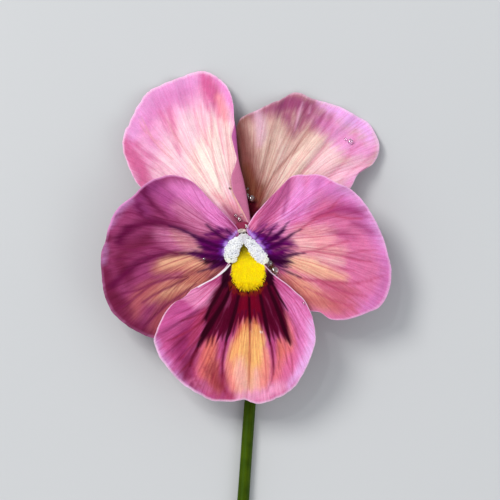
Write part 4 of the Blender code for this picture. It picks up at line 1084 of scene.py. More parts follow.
def coarse_front(petal):
    """The upper face of a petal as the CAD makes it. Rows run from the throat to the margin."""
    near, far = (np.array(p) for p in petal["lip"])
    first, last = petal["sides"]
    side_a = even_curve((near, *petal["margin"][:first]), COARSE_ROWS)
    side_b = even_curve((far, *petal["margin"][: -last - 1 : -1]), COARSE_ROWS)
    margin = even_curve(margin_part(petal), COARSE_COLUMNS)
    s = np.linspace(0, 1, COARSE_ROWS + 1)[:, None, None]
    t = np.linspace(0, 1, COARSE_COLUMNS + 1)[None, :, None]
    grid = (1 - t) * side_a[:, None] + t * side_b[:, None]
    grid = grid + (1 - s) * (near + (far - near) * t) + s * margin[None]
    grid = grid - (1 - s) * ((1 - t) * near + t * far) - s * ((1 - t) * margin[0] + t * margin[-1])
    ease(grid)
    waves = [ripple(j / COARSE_COLUMNS, *petal["ripples"]) for j in range(COARSE_COLUMNS + 1)]
    grid[..., 2] += (petal["dome"] * 4 * s * (1 - s) * np.sin(np.pi * t))[..., 0]
    grid[..., 2] += s[..., 0] ** 2.5 * np.array(waves)
    return grid


def fine_front(petal, rows, columns):
    """The same face with many more cells, and its margin as finely as its outline is given."""
    rows_read = spline_weights(COARSE_ROWS, rows)
    columns_read = spline_weights(COARSE_COLUMNS, columns)
    grid = np.einsum("ia,abk,jb->ijk", rows_read, coarse_front(petal), columns_read)
    s = np.linspace(0, 1, rows + 1)[:, None, None]
    missing = even_curve(margin_part(petal), columns)[:, :2] - grid[-1, :, :2]
    grid[..., :2] += s ** 3 * missing
    return grid


class Sheet:
    """A petal's upper face: a grid of points, and the places and directions that paint needs."""

    def __init__(self, points):
        rows, columns = points.shape[0] - 1, points.shape[1] - 1
        along = np.gradient(points, axis=0) * rows
        across = np.gradient(points, axis=1) * columns
        self.points = points
        self.s = np.repeat(np.linspace(0, 1, rows + 1)[:, None], columns + 1, axis=1)
        self.t = np.repeat(np.linspace(0, 1, columns + 1)[None, :], rows + 1, axis=0)
        self.length = np.linalg.norm(along, axis=2)
        self.width = np.linalg.norm(across, axis=2)
        self.onward = along[..., :2] / np.maximum(self.length, 1e-6)[..., None]
        self.sideways = across[..., :2] / np.maximum(self.width, 1e-6)[..., None]

    def woven(self, layers, seed):
        """Layers of noise that run along the petal."""
        return sum(
            strength * value_noise(self.t * across, self.s * along, seed + k)
            for k, (strength, across, along) in enumerate(layers)
        )

    def rim(self, width, far_side):
        """How near each point is to the free edge, from 1 there to 0 a few widths inside it."""
        distance = np.minimum((1 - self.s) * self.length, self.t * self.width)
        if far_side:
            distance = np.minimum(distance, (1 - self.t) * self.width)
        return np.exp(-((distance / width) ** 2))

    def roughen(self, seed, scallops):
        """Small waves in the plane of the margin, and fine ridges from the throat outwards."""
        waves = sum(
            depth * value_noise(self.t * count, 0.5, seed + k)
            for k, (depth, count) in enumerate(SCALLOPS)
        )
        self.points[..., :2] += (scallops * waves * self.s ** 8)[..., None] * self.onward
        self.points[..., 2] += sum(
            height * value_noise(self.t * across, self.s * along, seed + 2 + k) * self.s ** rise
            for k, (height, across, along, rise) in enumerate(RIDGES)
        )


# Paint

def in_mm(stroke):
    """A stroke read in the photo, as millimetres from the middle of the throat."""
    x_throat, y_throat = PHOTO_THROAT
    return [
        (round((x - x_throat) * PIXEL, 1), round((y_throat - y) * PIXEL, 1), round(half * PIXEL, 2))
        for x, y, half in stroke
    ]


def stroke_cover(x, y, strokes, soft):
    """How far brush strokes cover each point, from 0 to 1, with edges as soft as given."""
    cover = np.zeros(x.shape)
    for stroke in strokes:
        path = smooth_curve(in_mm(stroke), STROKE_STEPS)
        path[:, 2] = np.maximum(path[:, 2], THINNEST)
        for a, b in zip(path, path[1:]):
            reach = max(a[2], b[2]) + soft
            low = np.minimum(a[:2], b[:2]) - reach
            high = np.maximum(a[:2], b[:2]) + reach
            near = (x > low[0]) & (x < high[0]) & (y > low[1]) & (y < high[1])
            if not near.any():
                continue
            px, py = x[near] - a[0], y[near] - a[1]
            way = b[:2] - a[:2]
            share = np.clip((px * way[0] + py * way[1]) / max(float(way @ way), 1e-9), 0, 1)
            distance = np.hypot(px - share * way[0], py - share * way[1])
            edge = a[2] + (b[2] - a[2]) * share
            found = 1 - smooth_step(-0.5, 0.5, (distance - edge) / soft)
            cover[near] = np.maximum(cover[near], found)
    return cover


def frayed(sheet, amount, seed):
    """The points of a sheet, shifted along it by noise, so that what is painted there frays."""
    fringe = sheet.woven(FRINGE, seed)[..., None]
    cloud = 0.3 * value_noise(sheet.t * 14, sheet.s * 9, seed + 2)[..., None]
    moved = sheet.points[..., :2] + amount * (fringe * sheet.onward + cloud * sheet.sideways)
    return moved[..., 0], moved[..., 1]


def speckled(sheet, cover, seed):
    """Cover that is broken up by fine flecks along the petal wherever it fades out."""
    return np.clip(cover + 0.8 * cover * (1 - cover) * sheet.woven(FLECKS, seed), 0.0, 1.0)


def painted(sheet, layers, seed):
    """How far each layer of paint covers each point of a petal, with its own fraying and flecks."""
    paint = {}
    for number, (layer, _, soft, strength, fray, strokes) in enumerate(layers):
        if soft >= WIDE_SOFT:
            fray = round(WIDE_FRAY * fray, 2)
        x, y = frayed(sheet, fray, seed + 17 * number)
        cover = stroke_cover(x, y, strokes, soft)
        paint[layer] = strength * speckled(sheet, cover, seed + 7 * number)
    return paint


def vein_net(sheet, count, seed):
    """Fine forking veins from the throat to the margin: how far each point lies on one."""
    draw = random.Random(seed)
    s = sheet.s[:, 0]
    net = np.zeros(sheet.s.shape)
    twigs = []
    for k in range(count):
        start = (k + 0.5 + draw.uniform(-0.3, 0.3)) / count
        drift = draw.uniform(-0.3, 0.3) / count
        twigs.append((start + drift * s, 0.03, VEIN_WIDTH, 0))
    while twigs:
        path, begin, width, order = twigs.pop()
        path = path + 0.10 / count * value_noise(s * 7, draw.uniform(0, 400), seed + 5) * s
        distance = np.abs(sheet.t - path[:, None]) * sheet.width
        fade = smooth_step(begin, begin + 0.06, sheet.s) * (1 - 0.5 * smooth_step(0.75, 1.0, sheet.s))
        net = np.maximum(net, VEIN_STRENGTHS[order] * fade * np.exp(-((distance / width) ** 2)))
        if order == len(VEIN_STRENGTHS) - 1:
            continue
        for side in (-1, 1):
            fork = min(0.95, begin + draw.uniform(0.10, 0.34))
            spread = side * draw.uniform(0.5, 1.0) / count / (1.5 + order)
            grown = np.clip(s - fork, 0.0, 1.0) ** 0.85 * spread * 1.6
            twigs.append((path + grown, fork, width * 0.82, order + 1))
    return net


# Nodes of materials

def linear(colour):
    """An sRGB colour, 0 to 255, as Blender's linear RGBA."""
    shares = [c / 255 for c in colour]
    return (*((c / 12.92 if c <= 0.04045 else ((c + 0.055) / 1.055) ** 2.4) for c in shares), 1.0)


class Graph:
    """A material's nodes, added one by one."""

    def __init__(self, name):
        self.material = bpy.data.materials.new(name)
        self.material.use_nodes = True
        self.tree = self.material.node_tree
        self.shader = self.tree.nodes["Principled BSDF"]

    def feed(self, socket, value):
        if isinstance(value, bpy.types.NodeSocket):
            self.tree.links.new(value, socket)
        else:
            socket.default_value = value

    def add(self, kind, inputs, **settings):
        node = self.tree.nodes.new(kind)
        for key, value in settings.items():
            setattr(node, key, value)
        for key, value in inputs.items():
            self.feed(node.inputs[key], value)
        return node

    def attribute(self, name, output="Fac"):
        return self.add("ShaderNodeAttribute", {}, attribute_name=name).outputs[output]

    def position(self):
        return self.add("ShaderNodeTexCoord", {}).outputs["Object"]

    def noise(self, vector, scale, detail=2.0, roughness=0.5):
        inputs = {"Vector": vector, "Scale": scale, "Detail": detail, "Roughness": roughness}
        return self.add("ShaderNodeTexNoise", inputs).outputs["Fac"]

    def scaled(self, vector, scale):
        return self.add("ShaderNodeMapping", {"Vector": vector, "Scale": scale}).outputs["Vector"]

    def spread(self, value, low, high, to_low, to_high):
        inputs = {"Value": value, "From Min": low, "From Max": high, "To Min": to_low, "To Max": to_high}
        return self.add("ShaderNodeMapRange", inputs).outputs["Result"]

    def math(self, operation, first, second):
        return self.add("ShaderNodeMath", {0: first, 1: second}, operation=operation).outputs[0]

    def product(self, first, second):
        return self.math("MULTIPLY", first, second)

    def mix(self, factor, first, second, blend="MIX"):
        inputs = {0: factor, 6: first, 7: second}
        return self.add("ShaderNodeMix", inputs, data_type="RGBA", blend_type=blend).outputs[2]

    def tinted(self, colour, mask, tint, strength=None, blend="MIX"):
        """The colour with a tint over it where the mesh has the mask."""
        factor = self.attribute(mask)
        if strength is not None:
            factor = self.product(factor, strength)
        return self.mix(factor, colour, linear(tint), blend)

    def bump(self, height, distance, strength):
        inputs = {"Height": height, "Distance": distance, "Strength": strength}
        return self.add("ShaderNodeBump", inputs).outputs["Normal"]

    def finish(self, colour, roughness, normal, **sockets):
        self.feed(self.shader.inputs["Base Color"], colour)
        self.feed(self.shader.inputs["Roughness"], roughness)
        self.feed(self.shader.inputs["Normal"], normal)
        for key, value in sockets.items():
            self.shader.inputs[key.replace("_", " ")].default_value = value
        return self.material


def petal_colour(graph, petal, place, fibre, mottle):
    """Ground colour, each layer of paint in turn, veins and their web, underside, claw and rim, whose pale
    colour is partly a painted highlight.
    """
    gain = graph.spread(fibre, 0.25, 0.75, 0.94, 1.12)
    colour = linear(petal["ground"])
    for layer, paint, *_ in petal["paint"]:
        colour = graph.tinted(colour, layer, paint, gain)
    colour = graph.tinted(colour, "net", petal["veins"], 0.8, "MULTIPLY")
    cells = {"Vector": graph.scaled(place, (0.9, 0.36, 1.0)), "Scale": 1.0}
    web = graph.add("ShaderNodeTexVoronoi", cells, feature="DISTANCE_TO_EDGE").outputs["Distance"]
    web = graph.product(graph.spread(web, 0.0, 0.14, petal["web"], 0.0), mottle)
    colour = graph.mix(web, colour, linear(petal["web_tint"]), "MULTIPLY")
    colour = graph.tinted(colour, "under", petal["under"], 0.6)
    for mask, tint in petal.get("fold_tints", ()):
        colour = graph.tinted(colour, mask, tint)
    colour = graph.tinted(colour, "claw", CLAW_COLOUR)
    # the rim: the petal's paler edge together with a painted highlight along it
    return graph.tinted(colour, "rim", petal["rim"], 0.75)


def petal_material(name, petal):
    """The petal's colours, a grain that runs along it, and a velvety surface."""
    graph = Graph(name)
    place = graph.attribute("place", "Vector")
    position = graph.position()
    fibre = graph.noise(graph.scaled(place, (3.4, 0.30, 1.0)), 1.0, 3.0, 0.62)
    fine_fibre = graph.noise(graph.scaled(place, (9.0, 0.9, 1.0)), 1.0, 2.0)
    mottle = graph.noise(position, 900.0, 3.0, 0.6)
    flecks = graph.noise(graph.scaled(place, (5.0, 2.4, 1.0)), 1.0, 3.0, 0.6)
    grain = graph.noise(position, 5200.0, 2.0)
    tone = graph.spread(fibre, 0.2, 0.8, 0.93, 1.06)
    for noise, low, high in (
        (fine_fibre, 0.96, 1.04), (mottle, 0.90, 1.10), (flecks, 0.93, 1.07), (grain, 0.90, 1.10)
    ):
        tone = graph.product(tone, graph.spread(noise, 0.2, 0.8, low, high))
    colour = graph.mix(1.0, petal_colour(graph, petal, place, fibre, mottle), tone, "MULTIPLY")
    height = graph.math("ADD", fine_fibre, graph.product(grain, 0.6))
    return graph.finish(
        colour, graph.spread(mottle, 0.2, 0.8, 0.48, 0.66), graph.bump(height, 0.00006, 0.55),
        Sheen_Weight=0.015, Sheen_Roughness=0.45, Sheen_Tint=(1.0, 0.80, 0.94, 1.0),
        Specular_IOR_Level=0.03, Subsurface_Weight=0.10, Subsurface_Scale=0.0003,
        Subsurface_Radius=(1.0, 0.45, 0.6),
    )


# Meshes

def make_object(name, points, faces, material, masks):
    """A mesh in millimetres from the throat, with one number a point for each mask."""
    mesh = bpy.data.meshes.new(name)
    places = (np.asarray(points) + (0.0, THROAT_Y, 0.0)) * MM
    mesh.from_pydata(places.tolist(), [], faces)
    for key, values in masks.items():
        values = np.asarray(values, np.float32)
        kind, field = ("FLOAT", "value") if values.ndim == 1 else ("FLOAT_VECTOR", "vector")
        mesh.attributes.new(key, kind, "POINT").data.foreach_set(field, values.ravel())
    mesh.materials.append(material)
    mesh.shade_smooth()
    mesh.validate()
    item = bpy.data.objects.new(name, mesh)
    bpy.context.scene.collection.objects.link(item)
    return item


class Shell:
    """Points, faces and masks of a piece that is built up from several closed bodies."""

    def __init__(self, masks):
        self.points = []
        self.faces = []
        self.count = 0
        self.masks = {name: [] for name in masks}

    def add(self, points, faces, masks=None):
        self.points.append(np.asarray(points, float))
        self.faces += [tuple(v + self.count for v in face) for face in faces]
        self.count += len(points)
        for name, held in self.masks.items():
            value = (masks or {}).get(name, 0.0)
            held.append(np.broadcast_to(value, (len(points), *np.shape(value)[1:])))

    def make(self, name, material):
        points = np.concatenate(self.points)
        masks = {key: np.concatenate(held) for key, held in self.masks.items()}
        return make_object(name, points, self.faces, material, masks)


def ring_faces(start, sides):
    """The faces between a ring of points and the next one."""
    for k in range(sides):
        a, b = start + k, start + (k + 1) % sides
        yield a, b, b + sides, a + sides


def tube(path, sides, ridge=None):
    """Points and faces of a closed tube along x, y, z, radius rows."""
    points = []
    up = np.array([1.0, 0.0, 0.0])
    for i, row in enumerate(path):
        ahead = path[min(i + 1, len(path) - 1)][:3] - path[max(i - 1, 0)][:3]
        ahead = ahead / max(np.linalg.norm(ahead), 1e-9)
        up = up - ahead * np.dot(up, ahead)
        up = up / np.linalg.norm(up)
        side = np.cross(ahead, up)
        for k in range(sides):
            angle = 2 * math.pi * k / sides
            radius = row[3] * (ridge(angle, i) if ridge else 1.0)
            points.append(row[:3] + (up * math.cos(angle) + side * math.sin(angle)) * radius)
    faces = [tuple(range(sides))[::-1], tuple(range(len(points) - sides, len(points)))]
    for i in range(len(path) - 1):
        faces += ring_faces(i * sides, sides)
    return np.array(points), faces


def flatten(points, middle, share):
    """Presses points towards a height, so that a tube becomes as flat as the share says."""
    points[:, 2] = middle + share * (points[:, 2] - middle)


def grid_faces(index, flipped=False):
    """The faces of a grid of point numbers."""
    a, b, c, d = index[:-1, :-1], index[:-1, 1:], index[1:, 1:], index[1:, :-1]
    return np.stack((b, a, d, c) if flipped else (a, b, c, d), -1).reshape(-1, 4)


def grid_places(rows, columns, step):
    """Row and column of every step-th point of a grid."""
    places = np.meshgrid(range(0, rows + 1, step), range(0, columns + 1, step), indexing="ij")
    return np.stack(places, -1).reshape(-1, 2)


def edge_path(rows, columns):
    """The edge of a grid as (row, column), once round."""
    path = [(0, j) for j in range(columns)]
    path += [(i, columns) for i in range(rows)]
    path += [(rows, j) for j in range(columns, 0, -1)]
    path += [(i, 0) for i in range(rows, 0, -1)]
    return np.array(path)


def rim_rings(front, back, edge, bulge):
    """The rings of points of a rounded rim between two grids."""
    inner = np.clip(edge, 1, [front.shape[0] - 2, front.shape[1] - 2])
    at = front[edge[:, 0], edge[:, 1]]
    out = at - front[inner[:, 0], inner[:, 1]]
    out = out / np.maximum(np.linalg.norm(out, axis=1, keepdims=True), 1e-9)
    down = back[edge[:, 0], edge[:, 1]] - at
    return [at + down * share + out * bulge * swell for share, swell in RIM]


def stitch(ring, low_ring, step):
    """The faces between a ring and one with every step-th point of it."""
    faces = []
    middle = (step + 1) // 2
    for k, first in enumerate(low_ring):
        second = low_ring[(k + 1) % len(low_ring)]
        dense = [int(ring[(k * step + m) % len(ring)]) for m in range(step + 1)]
        faces += [(dense[m + 1], dense[m], int(first)) for m in range(middle)]
        faces += [(dense[m + 1], dense[m], int(second)) for m in range(middle, step)]
        faces.append((dense[middle], int(first), int(second)))
    return faces


def sheet_body(front, back, step, bulge):
    """A closed thin body: the front grid, a rounded rim, and every step-th point of the back grid.

    It gives the points, the faces, and for each point its place in the grid and whether it is on
    the rim (1) or the back (2).
    """
    rows, columns = front.shape[0] - 1, front.shape[1] - 1
    edge = edge_path(rows, columns)
    rings = rim_rings(front, back, edge, bulge)
    small = back[::step, ::step]
    upper = np.arange((rows + 1) * (columns + 1)).reshape(rows + 1, columns + 1)
    ring = upper[edge[:, 0], edge[:, 1]]
    quads = [grid_faces(upper)]
    for number in range(len(rings)):
        below = upper.size + number * len(edge) + np.arange(len(edge))
        quads.append(np.stack([np.roll(ring, -1), ring, below, np.roll(below, -1)], -1))
        ring = below
    lower = ring[-1] + 1 + np.arange(small.shape[0] * small.shape[1]).reshape(small.shape[:2])
    quads.append(grid_faces(lower, flipped=True))
    corners = edge[::step] // step
    faces = np.concatenate(quads).tolist() + stitch(ring, lower[corners[:, 0], corners[:, 1]], step)
    across, along = front[0, -1] - front[0, 0], front[-1, columns // 2] - front[0, columns // 2]
    if across[0] * along[1] - across[1] * along[0] < 0:
        faces = [tuple(face)[::-1] for face in faces]
    points = np.concatenate([front.reshape(-1, 3), *rings, small.reshape(-1, 3)])
    places = [grid_places(rows, columns, 1), *[edge] * len(rings), grid_places(rows, columns, step)]
    side = np.repeat((0.0, 1.0, 2.0), (upper.size, len(rings) * len(edge), lower.size))
    return points, faces, np.concatenate(places), side


# The fold of the upper left petal

def fold_line(rows):
    """Along the fold: x of its outer edge, its width from above, and its inner and outer bends."""
    table = smooth_curve(FOLD_LINE, 8)
    share = np.linspace(0, 1, rows + 1)
    edge_x, width = (np.interp(share, table[:, 0], table[:, k]) for k in (1, 2))
    tight = np.clip((width - 0.12) / 1.56, FOLD_TIGHT, 1.0)[:, None]
    inner = tight * FOLD_INNER
    outer = inner + SHEET * (0.4 + 0.6 * tight)
    return edge_x, width[:, None], inner, outer


def reach_fold(front):
    """Moves the right side of the face so that the bend that starts there ends at its outer edge."""
    edge_x, _, _, outer = fold_line(len(front) - 1)
    shift = edge_x - outer[:, 0] - front[:, -1, 0]
    front[..., 0] += shift[:, None] * np.linspace(0, 1, front.shape[1]) ** FOLD_SPREAD


def fold_forward(front):
    """The two faces of the sheet with the margin that is folded forward over it."""
    rows = len(front) - 1
    edge = front[:, -1]
    up = np.array([0.0, 0.0, 1.0])
    out = edge - front[:, -8]
    out[:, 2] = 0.0
    out = out / np.linalg.norm(out, axis=1, keepdims=True)
    _, width, inner, outer = fold_line(rows)
    centre = edge + up * inner[:, 1:]
    fronts, backs = [], []
    for k in range(1, FOLD_ARC + 1):
        angle = np.pi * (k / FOLD_ARC - 0.5)
        for bend, strip in ((inner, fronts), (outer, backs)):
            strip.append(centre + out * np.cos(angle) * bend[:, :1] + up * np.sin(angle) * bend[:, 1:])
    bent_front, bent_back = fronts[-1], backs[-1]
    for k in range(1, FOLD_FLAT + 1):
        length = np.maximum(0.04, width - outer[:, :1]) * k / FOLD_FLAT
        sag = -0.25 * (k / FOLD_FLAT) ** 2 * np.minimum(1.0, width / 2)
        fronts.append(bent_front - out * length + up * sag)
        backs.append(bent_back - out * length + up * sag)
    return (
        np.concatenate([front, np.stack(fronts, 1)], axis=1),
        np.concatenate([front - up * SHEET, np.stack(backs, 1)], axis=1),
    )


def fold_paint(sheet, paint):
    """The masks of the flat petal, carried on over the fold, where no paint lies."""
    added = FOLD_ARC + FOLD_FLAT
    height, width = sheet.s.shape
    place = np.concatenate([paint.pop("place"), np.zeros((height, added, 3))], axis=1)
    place[:, width:, 0] = PLACE_ACROSS + np.arange(1, added + 1) * 0.12
    place[:, width:, 1] = sheet.s[:, :1] * PLACE_ALONG
    blank = np.zeros((height, added))
    paint = {key: np.concatenate([mask, blank], axis=1) for key, mask in paint.items()}
    folds = np.zeros((height, width + added))
    folds[:, width:] = 1.0
    paint["place"] = place
    # masks of the fold strip, whose tints darken it as painted shade
    paint["fold"] = folds
    paint["fold_top"] = folds * smooth_step(0.56, 0.70, sheet.s[:, :1])
    paint["rim"][:, -len(FOLD_RIM):] = FOLD_RIM
    return paint


# Petals

def petal_masks(sheet, petal, seed, folded):
    """Paint, veins and rim of a petal's face, whose relief they also give it."""
    paint = painted(sheet, petal["paint"], seed)
    paint["net"] = vein_net(sheet, VEINS, seed + 3)
    for layer in petal["bare"]:
        paint["net"] *= 1 - np.minimum(1.0, paint[layer])
    strokes_of = {layer[0]: layer[5] for layer in petal["paint"]}
    for layer, height, soft in petal["relief"]:
        x, y = sheet.points[..., 0], sheet.points[..., 1]
        sheet.points[..., 2] += height * stroke_cover(x, y, strokes_of[layer], soft)
    sheet.points[..., 2] -= VEIN_DEPTH * paint["net"]
    sheet.roughen(seed, petal["scallops"])
    # the rim's mask, for the paler edge and its painted highlight
    paint["rim"] = sheet.rim(RIM_WIDTH, not folded)
    for layer in petal["bare_rim"]:
        paint["rim"] *= 1 - np.minimum(1.0, paint[layer])
    across, along = sheet.t * PLACE_ACROSS, sheet.s * PLACE_ALONG
    paint["place"] = np.stack([across, along, np.zeros(sheet.s.shape)], -1)
    return paint


def add_petal_tubes(shell, name, petal, folded):
    """The claw of a petal, the spur of the lower one and the foot of the upper left one."""
    tubes = [smooth_curve(petal["claw"], 6)]
    if name == "petal_lower":
        tubes.append(smooth_curve(SPUR, 8))
    for path in tubes:
        path[:, 2] = np.maximum(path[:, 2], 0.0)
        points, faces = tube(path, CLAW_SIDES)
        points[:, 2] = np.maximum(points[:, 2], 0.0)
        shell.add(points, faces, {"claw": 1.0, "place": np.zeros((len(points), 3))})
    if folded:
        points, faces = tube(smooth_curve(UPPER_FOOT, 6), CLAW_SIDES)
        flatten(points, UPPER_FOOT[0][2], 0.4)
        # dark maroon: the petal's base, and painted shade that fills the throat behind the stigma
        shell.add(points, faces, {"maroon": 0.98, "place": points * 2})


def make_petal(name, petal, seed):
    """A petal with its claw, which replaces the CAD's plain one."""
    folded = name == "petal_upper_left"
    rows, columns, step = FOLDED_CELLS if folded else PETAL_CELLS
    face = fine_front(petal, rows, columns)
    if folded:
        reach_fold(face)
    sheet = Sheet(face)
    paint = petal_masks(sheet, petal, seed, folded)
    if folded:
        front, back = fold_forward(sheet.points)
        paint = fold_paint(sheet, paint)
    else:
        front = sheet.points
        back = front - (0.0, 0.0, SHEET)
    front[..., 2] = np.maximum(front[..., 2], SHEET)
    back[..., 2] = np.maximum(back[..., 2], 0.0)
    points, faces, grid_at, side = sheet_body(front, back, step, BULGE)
    masks = {key: mask[grid_at[:, 0], grid_at[:, 1]] for key, mask in paint.items()}
    masks["under"] = np.where(side == 2, 1.0, 0.0)
    if folded:
        masks["under"] *= 1 - masks["fold"]
    masks["claw"] = np.zeros(len(points))
    shell = Shell(masks)
    shell.add(points, faces, masks)
    add_petal_tubes(shell, name, petal, folded)
    item = shell.make(name + "_petal", petal_material(name, petal))
    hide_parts(name)
    return item, front


# Beards and the throat

def hair_material(name, cloud_scale, cloud_range, grain_scale, colours, tints, roughness, **sockets):
    """Two cloudy colours, a tint for each mask, and a fine grain."""
    graph = Graph(name)
    position = graph.position()
    cloud = graph.noise(position, cloud_scale, 2.0)
    grain = graph.noise(position, grain_scale, 2.0)
    colour = graph.mix(graph.spread(cloud, *cloud_range, 0.0, 1.0), *(linear(c) for c in colours))
    for mask, tint in tints.items():
        colour = graph.tinted(colour, mask, tint)
    return graph.finish(
        colour, graph.spread(grain, 0.3, 0.7, *roughness), graph.bump(grain, 0.00003, 0.4),
        Subsurface_Scale=0.0004, **sockets,
    )


def beard_material():
    return hair_material(
        "beard_white", 1500.0, (0.35, 0.6), 9000.0, ((236, 236, 246), (255, 255, 254)),
        # root: a little greyer at the foot of the hairs, painted shade deep among them
        {"root": (240, 243, 246), "thin": (206, 194, 204), "sallow": (244, 238, 176)}, (0.35, 0.6),
        Subsurface_Weight=0.15, Subsurface_Radius=(1.0, 1.0, 1.0), Sheen_Weight=0.35,
        Specular_IOR_Level=0.5,
    )


def throat_material():
    return hair_material(
        "throat_yellow", 1200.0, (0.3, 0.7), 8000.0, ((254, 214, 0), (255, 232, 0)),
        {"shade": (168, 146, 0), "tip": (204, 116, 0)}, (0.35, 0.55),
        Subsurface_Weight=0.2, Subsurface_Radius=(1.0, 0.7, 0.1), Specular_IOR_Level=0.15,
    )


def hair(root, way, length, radii, girth):
    """A short blunt hair that bends a little towards the lower petal."""
    shares = (0.0, 0.3, 0.6, 0.85, 1.0)
    bend = np.array([0.0, -0.10 * length, 0.0])
    path = [(*(root + way * length * u + bend * u * u), girth * r) for u, r in zip(shares, radii)]
    return tube(np.array(path), HAIR_SIDES)


def add_beard_hair(shell, draw, spine):
    """One hair of a beard. It is greyer near the stigma and yellower near the other end."""
    place = BEARD_CELLS * draw.random() ** 0.9
    low = min(int(place), BEARD_CELLS - 1)
    middle = spine[low] + (spine[low + 1] - spine[low]) * (place - low)
    ahead = unit(spine[low + 1][:2] - spine[low][:2])
    off = draw.uniform(-1.0, 1.0)
    flank = np.array([-ahead[1], ahead[0]])
    crown = 0.42 * math.sqrt(max(0.0, 1 - off * off))
    root = np.array([*(middle[:2] + flank * off * middle[2]), BEARD_HEIGHT - 0.1 + crown])
    lean = np.array([*(flank * off * 0.55), 1.0])
    lean[:2] += draw.uniform(-0.25, 0.25), draw.uniform(-0.35, 0.15)
    length = draw.uniform(0.26, 0.50) * (0.75 + 0.25 * crown)
    points, faces = hair(root, unit(lean), length, BEARD_HAIR, draw.uniform(0.80, 1.25))
    share = place / BEARD_CELLS
    shell.add(points, faces, {
        # painted shade: greyer towards the root
        "root": np.repeat((0.75, 0.45, 0.15, 0.0, 0.0), HAIR_SIDES),
        "sallow": 0.5 * smooth_step(0.72, 1.0, share) * draw.uniform(0.3, 1.0),
        "thin": 0.8 * (1 - smooth_step(0.05, 0.28, share)) * draw.uniform(0.4, 1.0),
    })


def make_beard(name, line, material):
    """Blunt white hairs that stand close together on a low ridge."""
    draw = random.Random(name)
    shell = Shell(("root", "sallow", "thin"))
    spine = even_curve(line, BEARD_CELLS)
    heights = np.full(len(spine), BEARD_HEIGHT - 0.35)
    points, faces = tube(np.stack([spine[:, 0], spine[:, 1], heights, spine[:, 2]], 1), 18)
    points[:, 2] = BEARD_HEIGHT - 0.2 + 0.55 * (points[:, 2] - BEARD_HEIGHT + 0.35)
    # the ridge under the hairs gets the same painted shade
    shell.add(points, faces, {"root": 0.8})
    for _ in range(BEARD_HAIRS):
        add_beard_hair(shell, draw, spine)
    item = shell.make(name + "_hairs", material)
    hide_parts(name)
    return item


def height_at(front, x, y):
    """Height of a petal's face at a place, and the direction from the throat outwards there."""
    squares = (front[..., 0] - x) ** 2 + (front[..., 1] - y) ** 2
    i, j = np.unravel_index(np.argmin(squares), squares.shape)
    ahead = front[min(i + 3, len(front) - 1), j] - front[max(i - 3, 0), j]
    return front[i, j, 2], unit(ahead)


def throat_shade(y):
    """How far the yellow darkens towards the inside of the throat."""
    return 0.9 * smooth_step(-3.0, -0.6, y)


def add_throat_hair(shell, draw, patch, tongue, front):
    """One hair of the yellow patch. At the patch's lower edge it is longer, thinner and leans."""
    top, bottom = patch[0, 1], patch[-1, 1]
    y = top + (bottom - top) * draw.random() ** 0.72
    middle, half = (np.interp(-y, -patch[:, 1], patch[:, k]) for k in (0, 2))
    off = draw.uniform(-1.0, 1.0)
    x = middle + off * half
    if y > THROAT_TONGUE[-1][1]:
        crest = np.interp(-y, -tongue[:, 1], tongue[:, 2] + TONGUE_FLAT * tongue[:, 3])
        height, ahead = crest - 0.3 * off * off, np.array([0.0, -1.0, 0.0])
    else:
        height, ahead = height_at(front, x, y)
    share = (y - top) / (bottom - top)
    flank = 0.7 * smooth_step(0.90, 1.0, abs(off)) * smooth_step(0.4, 0.7, share)
    fringe = max(smooth_step(0.86, 1.0, share), flank)
    length = 0.12 + 0.75 * fringe * draw.uniform(0.4, 1.0)
    way = np.array([0.0, 0.0, 1.0]) * (1.0 - 0.75 * fringe) + ahead * (0.1 + 0.9 * fringe)
    way = unit(way + np.array([off * 0.6 * fringe, 0.0, 0.15]))
    girth = draw.uniform(0.8, 1.3) * (1.0 - 0.45 * fringe)
    points, faces = hair(np.array([x, y, height - 0.05]), way, length, THROAT_HAIR, girth)
    ends = np.repeat((0.0, 0.0, 0.15, 0.6, 1.0), HAIR_SIDES) * fringe * draw.uniform(0.1, 1.0)
    shell.add(points, faces, {"shade": throat_shade(y) + draw.uniform(0.0, 0.14), "tip": ends})


def make_throat(front):
    """The yellow patch: blunt hairs on it and on its tongue, longer and leaning at its lower edge."""
    draw = random.Random(11)
    shell = Shell(("shade", "tip"))
    patch = smooth_curve(THROAT_PATCH, 6)
    tongue = smooth_curve(THROAT_TONGUE, 6)
    points, faces = tube(tongue, 24)
    flatten(points, np.repeat(tongue[:, 2], 24), TONGUE_FLAT)
    shell.add(points, faces, {"shade": throat_shade(points[:, 1]), "tip": 0.0})
    for _ in range(THROAT_HAIRS):
        add_throat_hair(shell, draw, patch, tongue, front)
    item = shell.make("throat_papillae", throat_material())
    return item


# Pistil and stamens

def fleshy_material(name, pale, deep, roughness):
    """A pale colour and a deep one where the mask says, with mottling and a fine wet grain."""
    graph = Graph(name)
    position = graph.position()
    cloud = graph.noise(position, 1100.0, 3.0)
    grain = graph.noise(position, 7000.0, 2.0)
    colour = graph.tinted(linear(pale), "deep", deep)
    colour = graph.mix(1.0, colour, graph.spread(cloud, 0.25, 0.75, 0.82, 1.12), "MULTIPLY")
    return graph.finish(
        colour, graph.spread(grain, 0.3, 0.7, roughness - 0.08, roughness + 0.1),
        graph.bump(grain, 0.00003, 0.5), Specular_IOR_Level=0.5, Subsurface_Weight=0.15,
        Subsurface_Scale=0.0004, Subsurface_Radius=(1.0, 0.8, 0.3),
    )


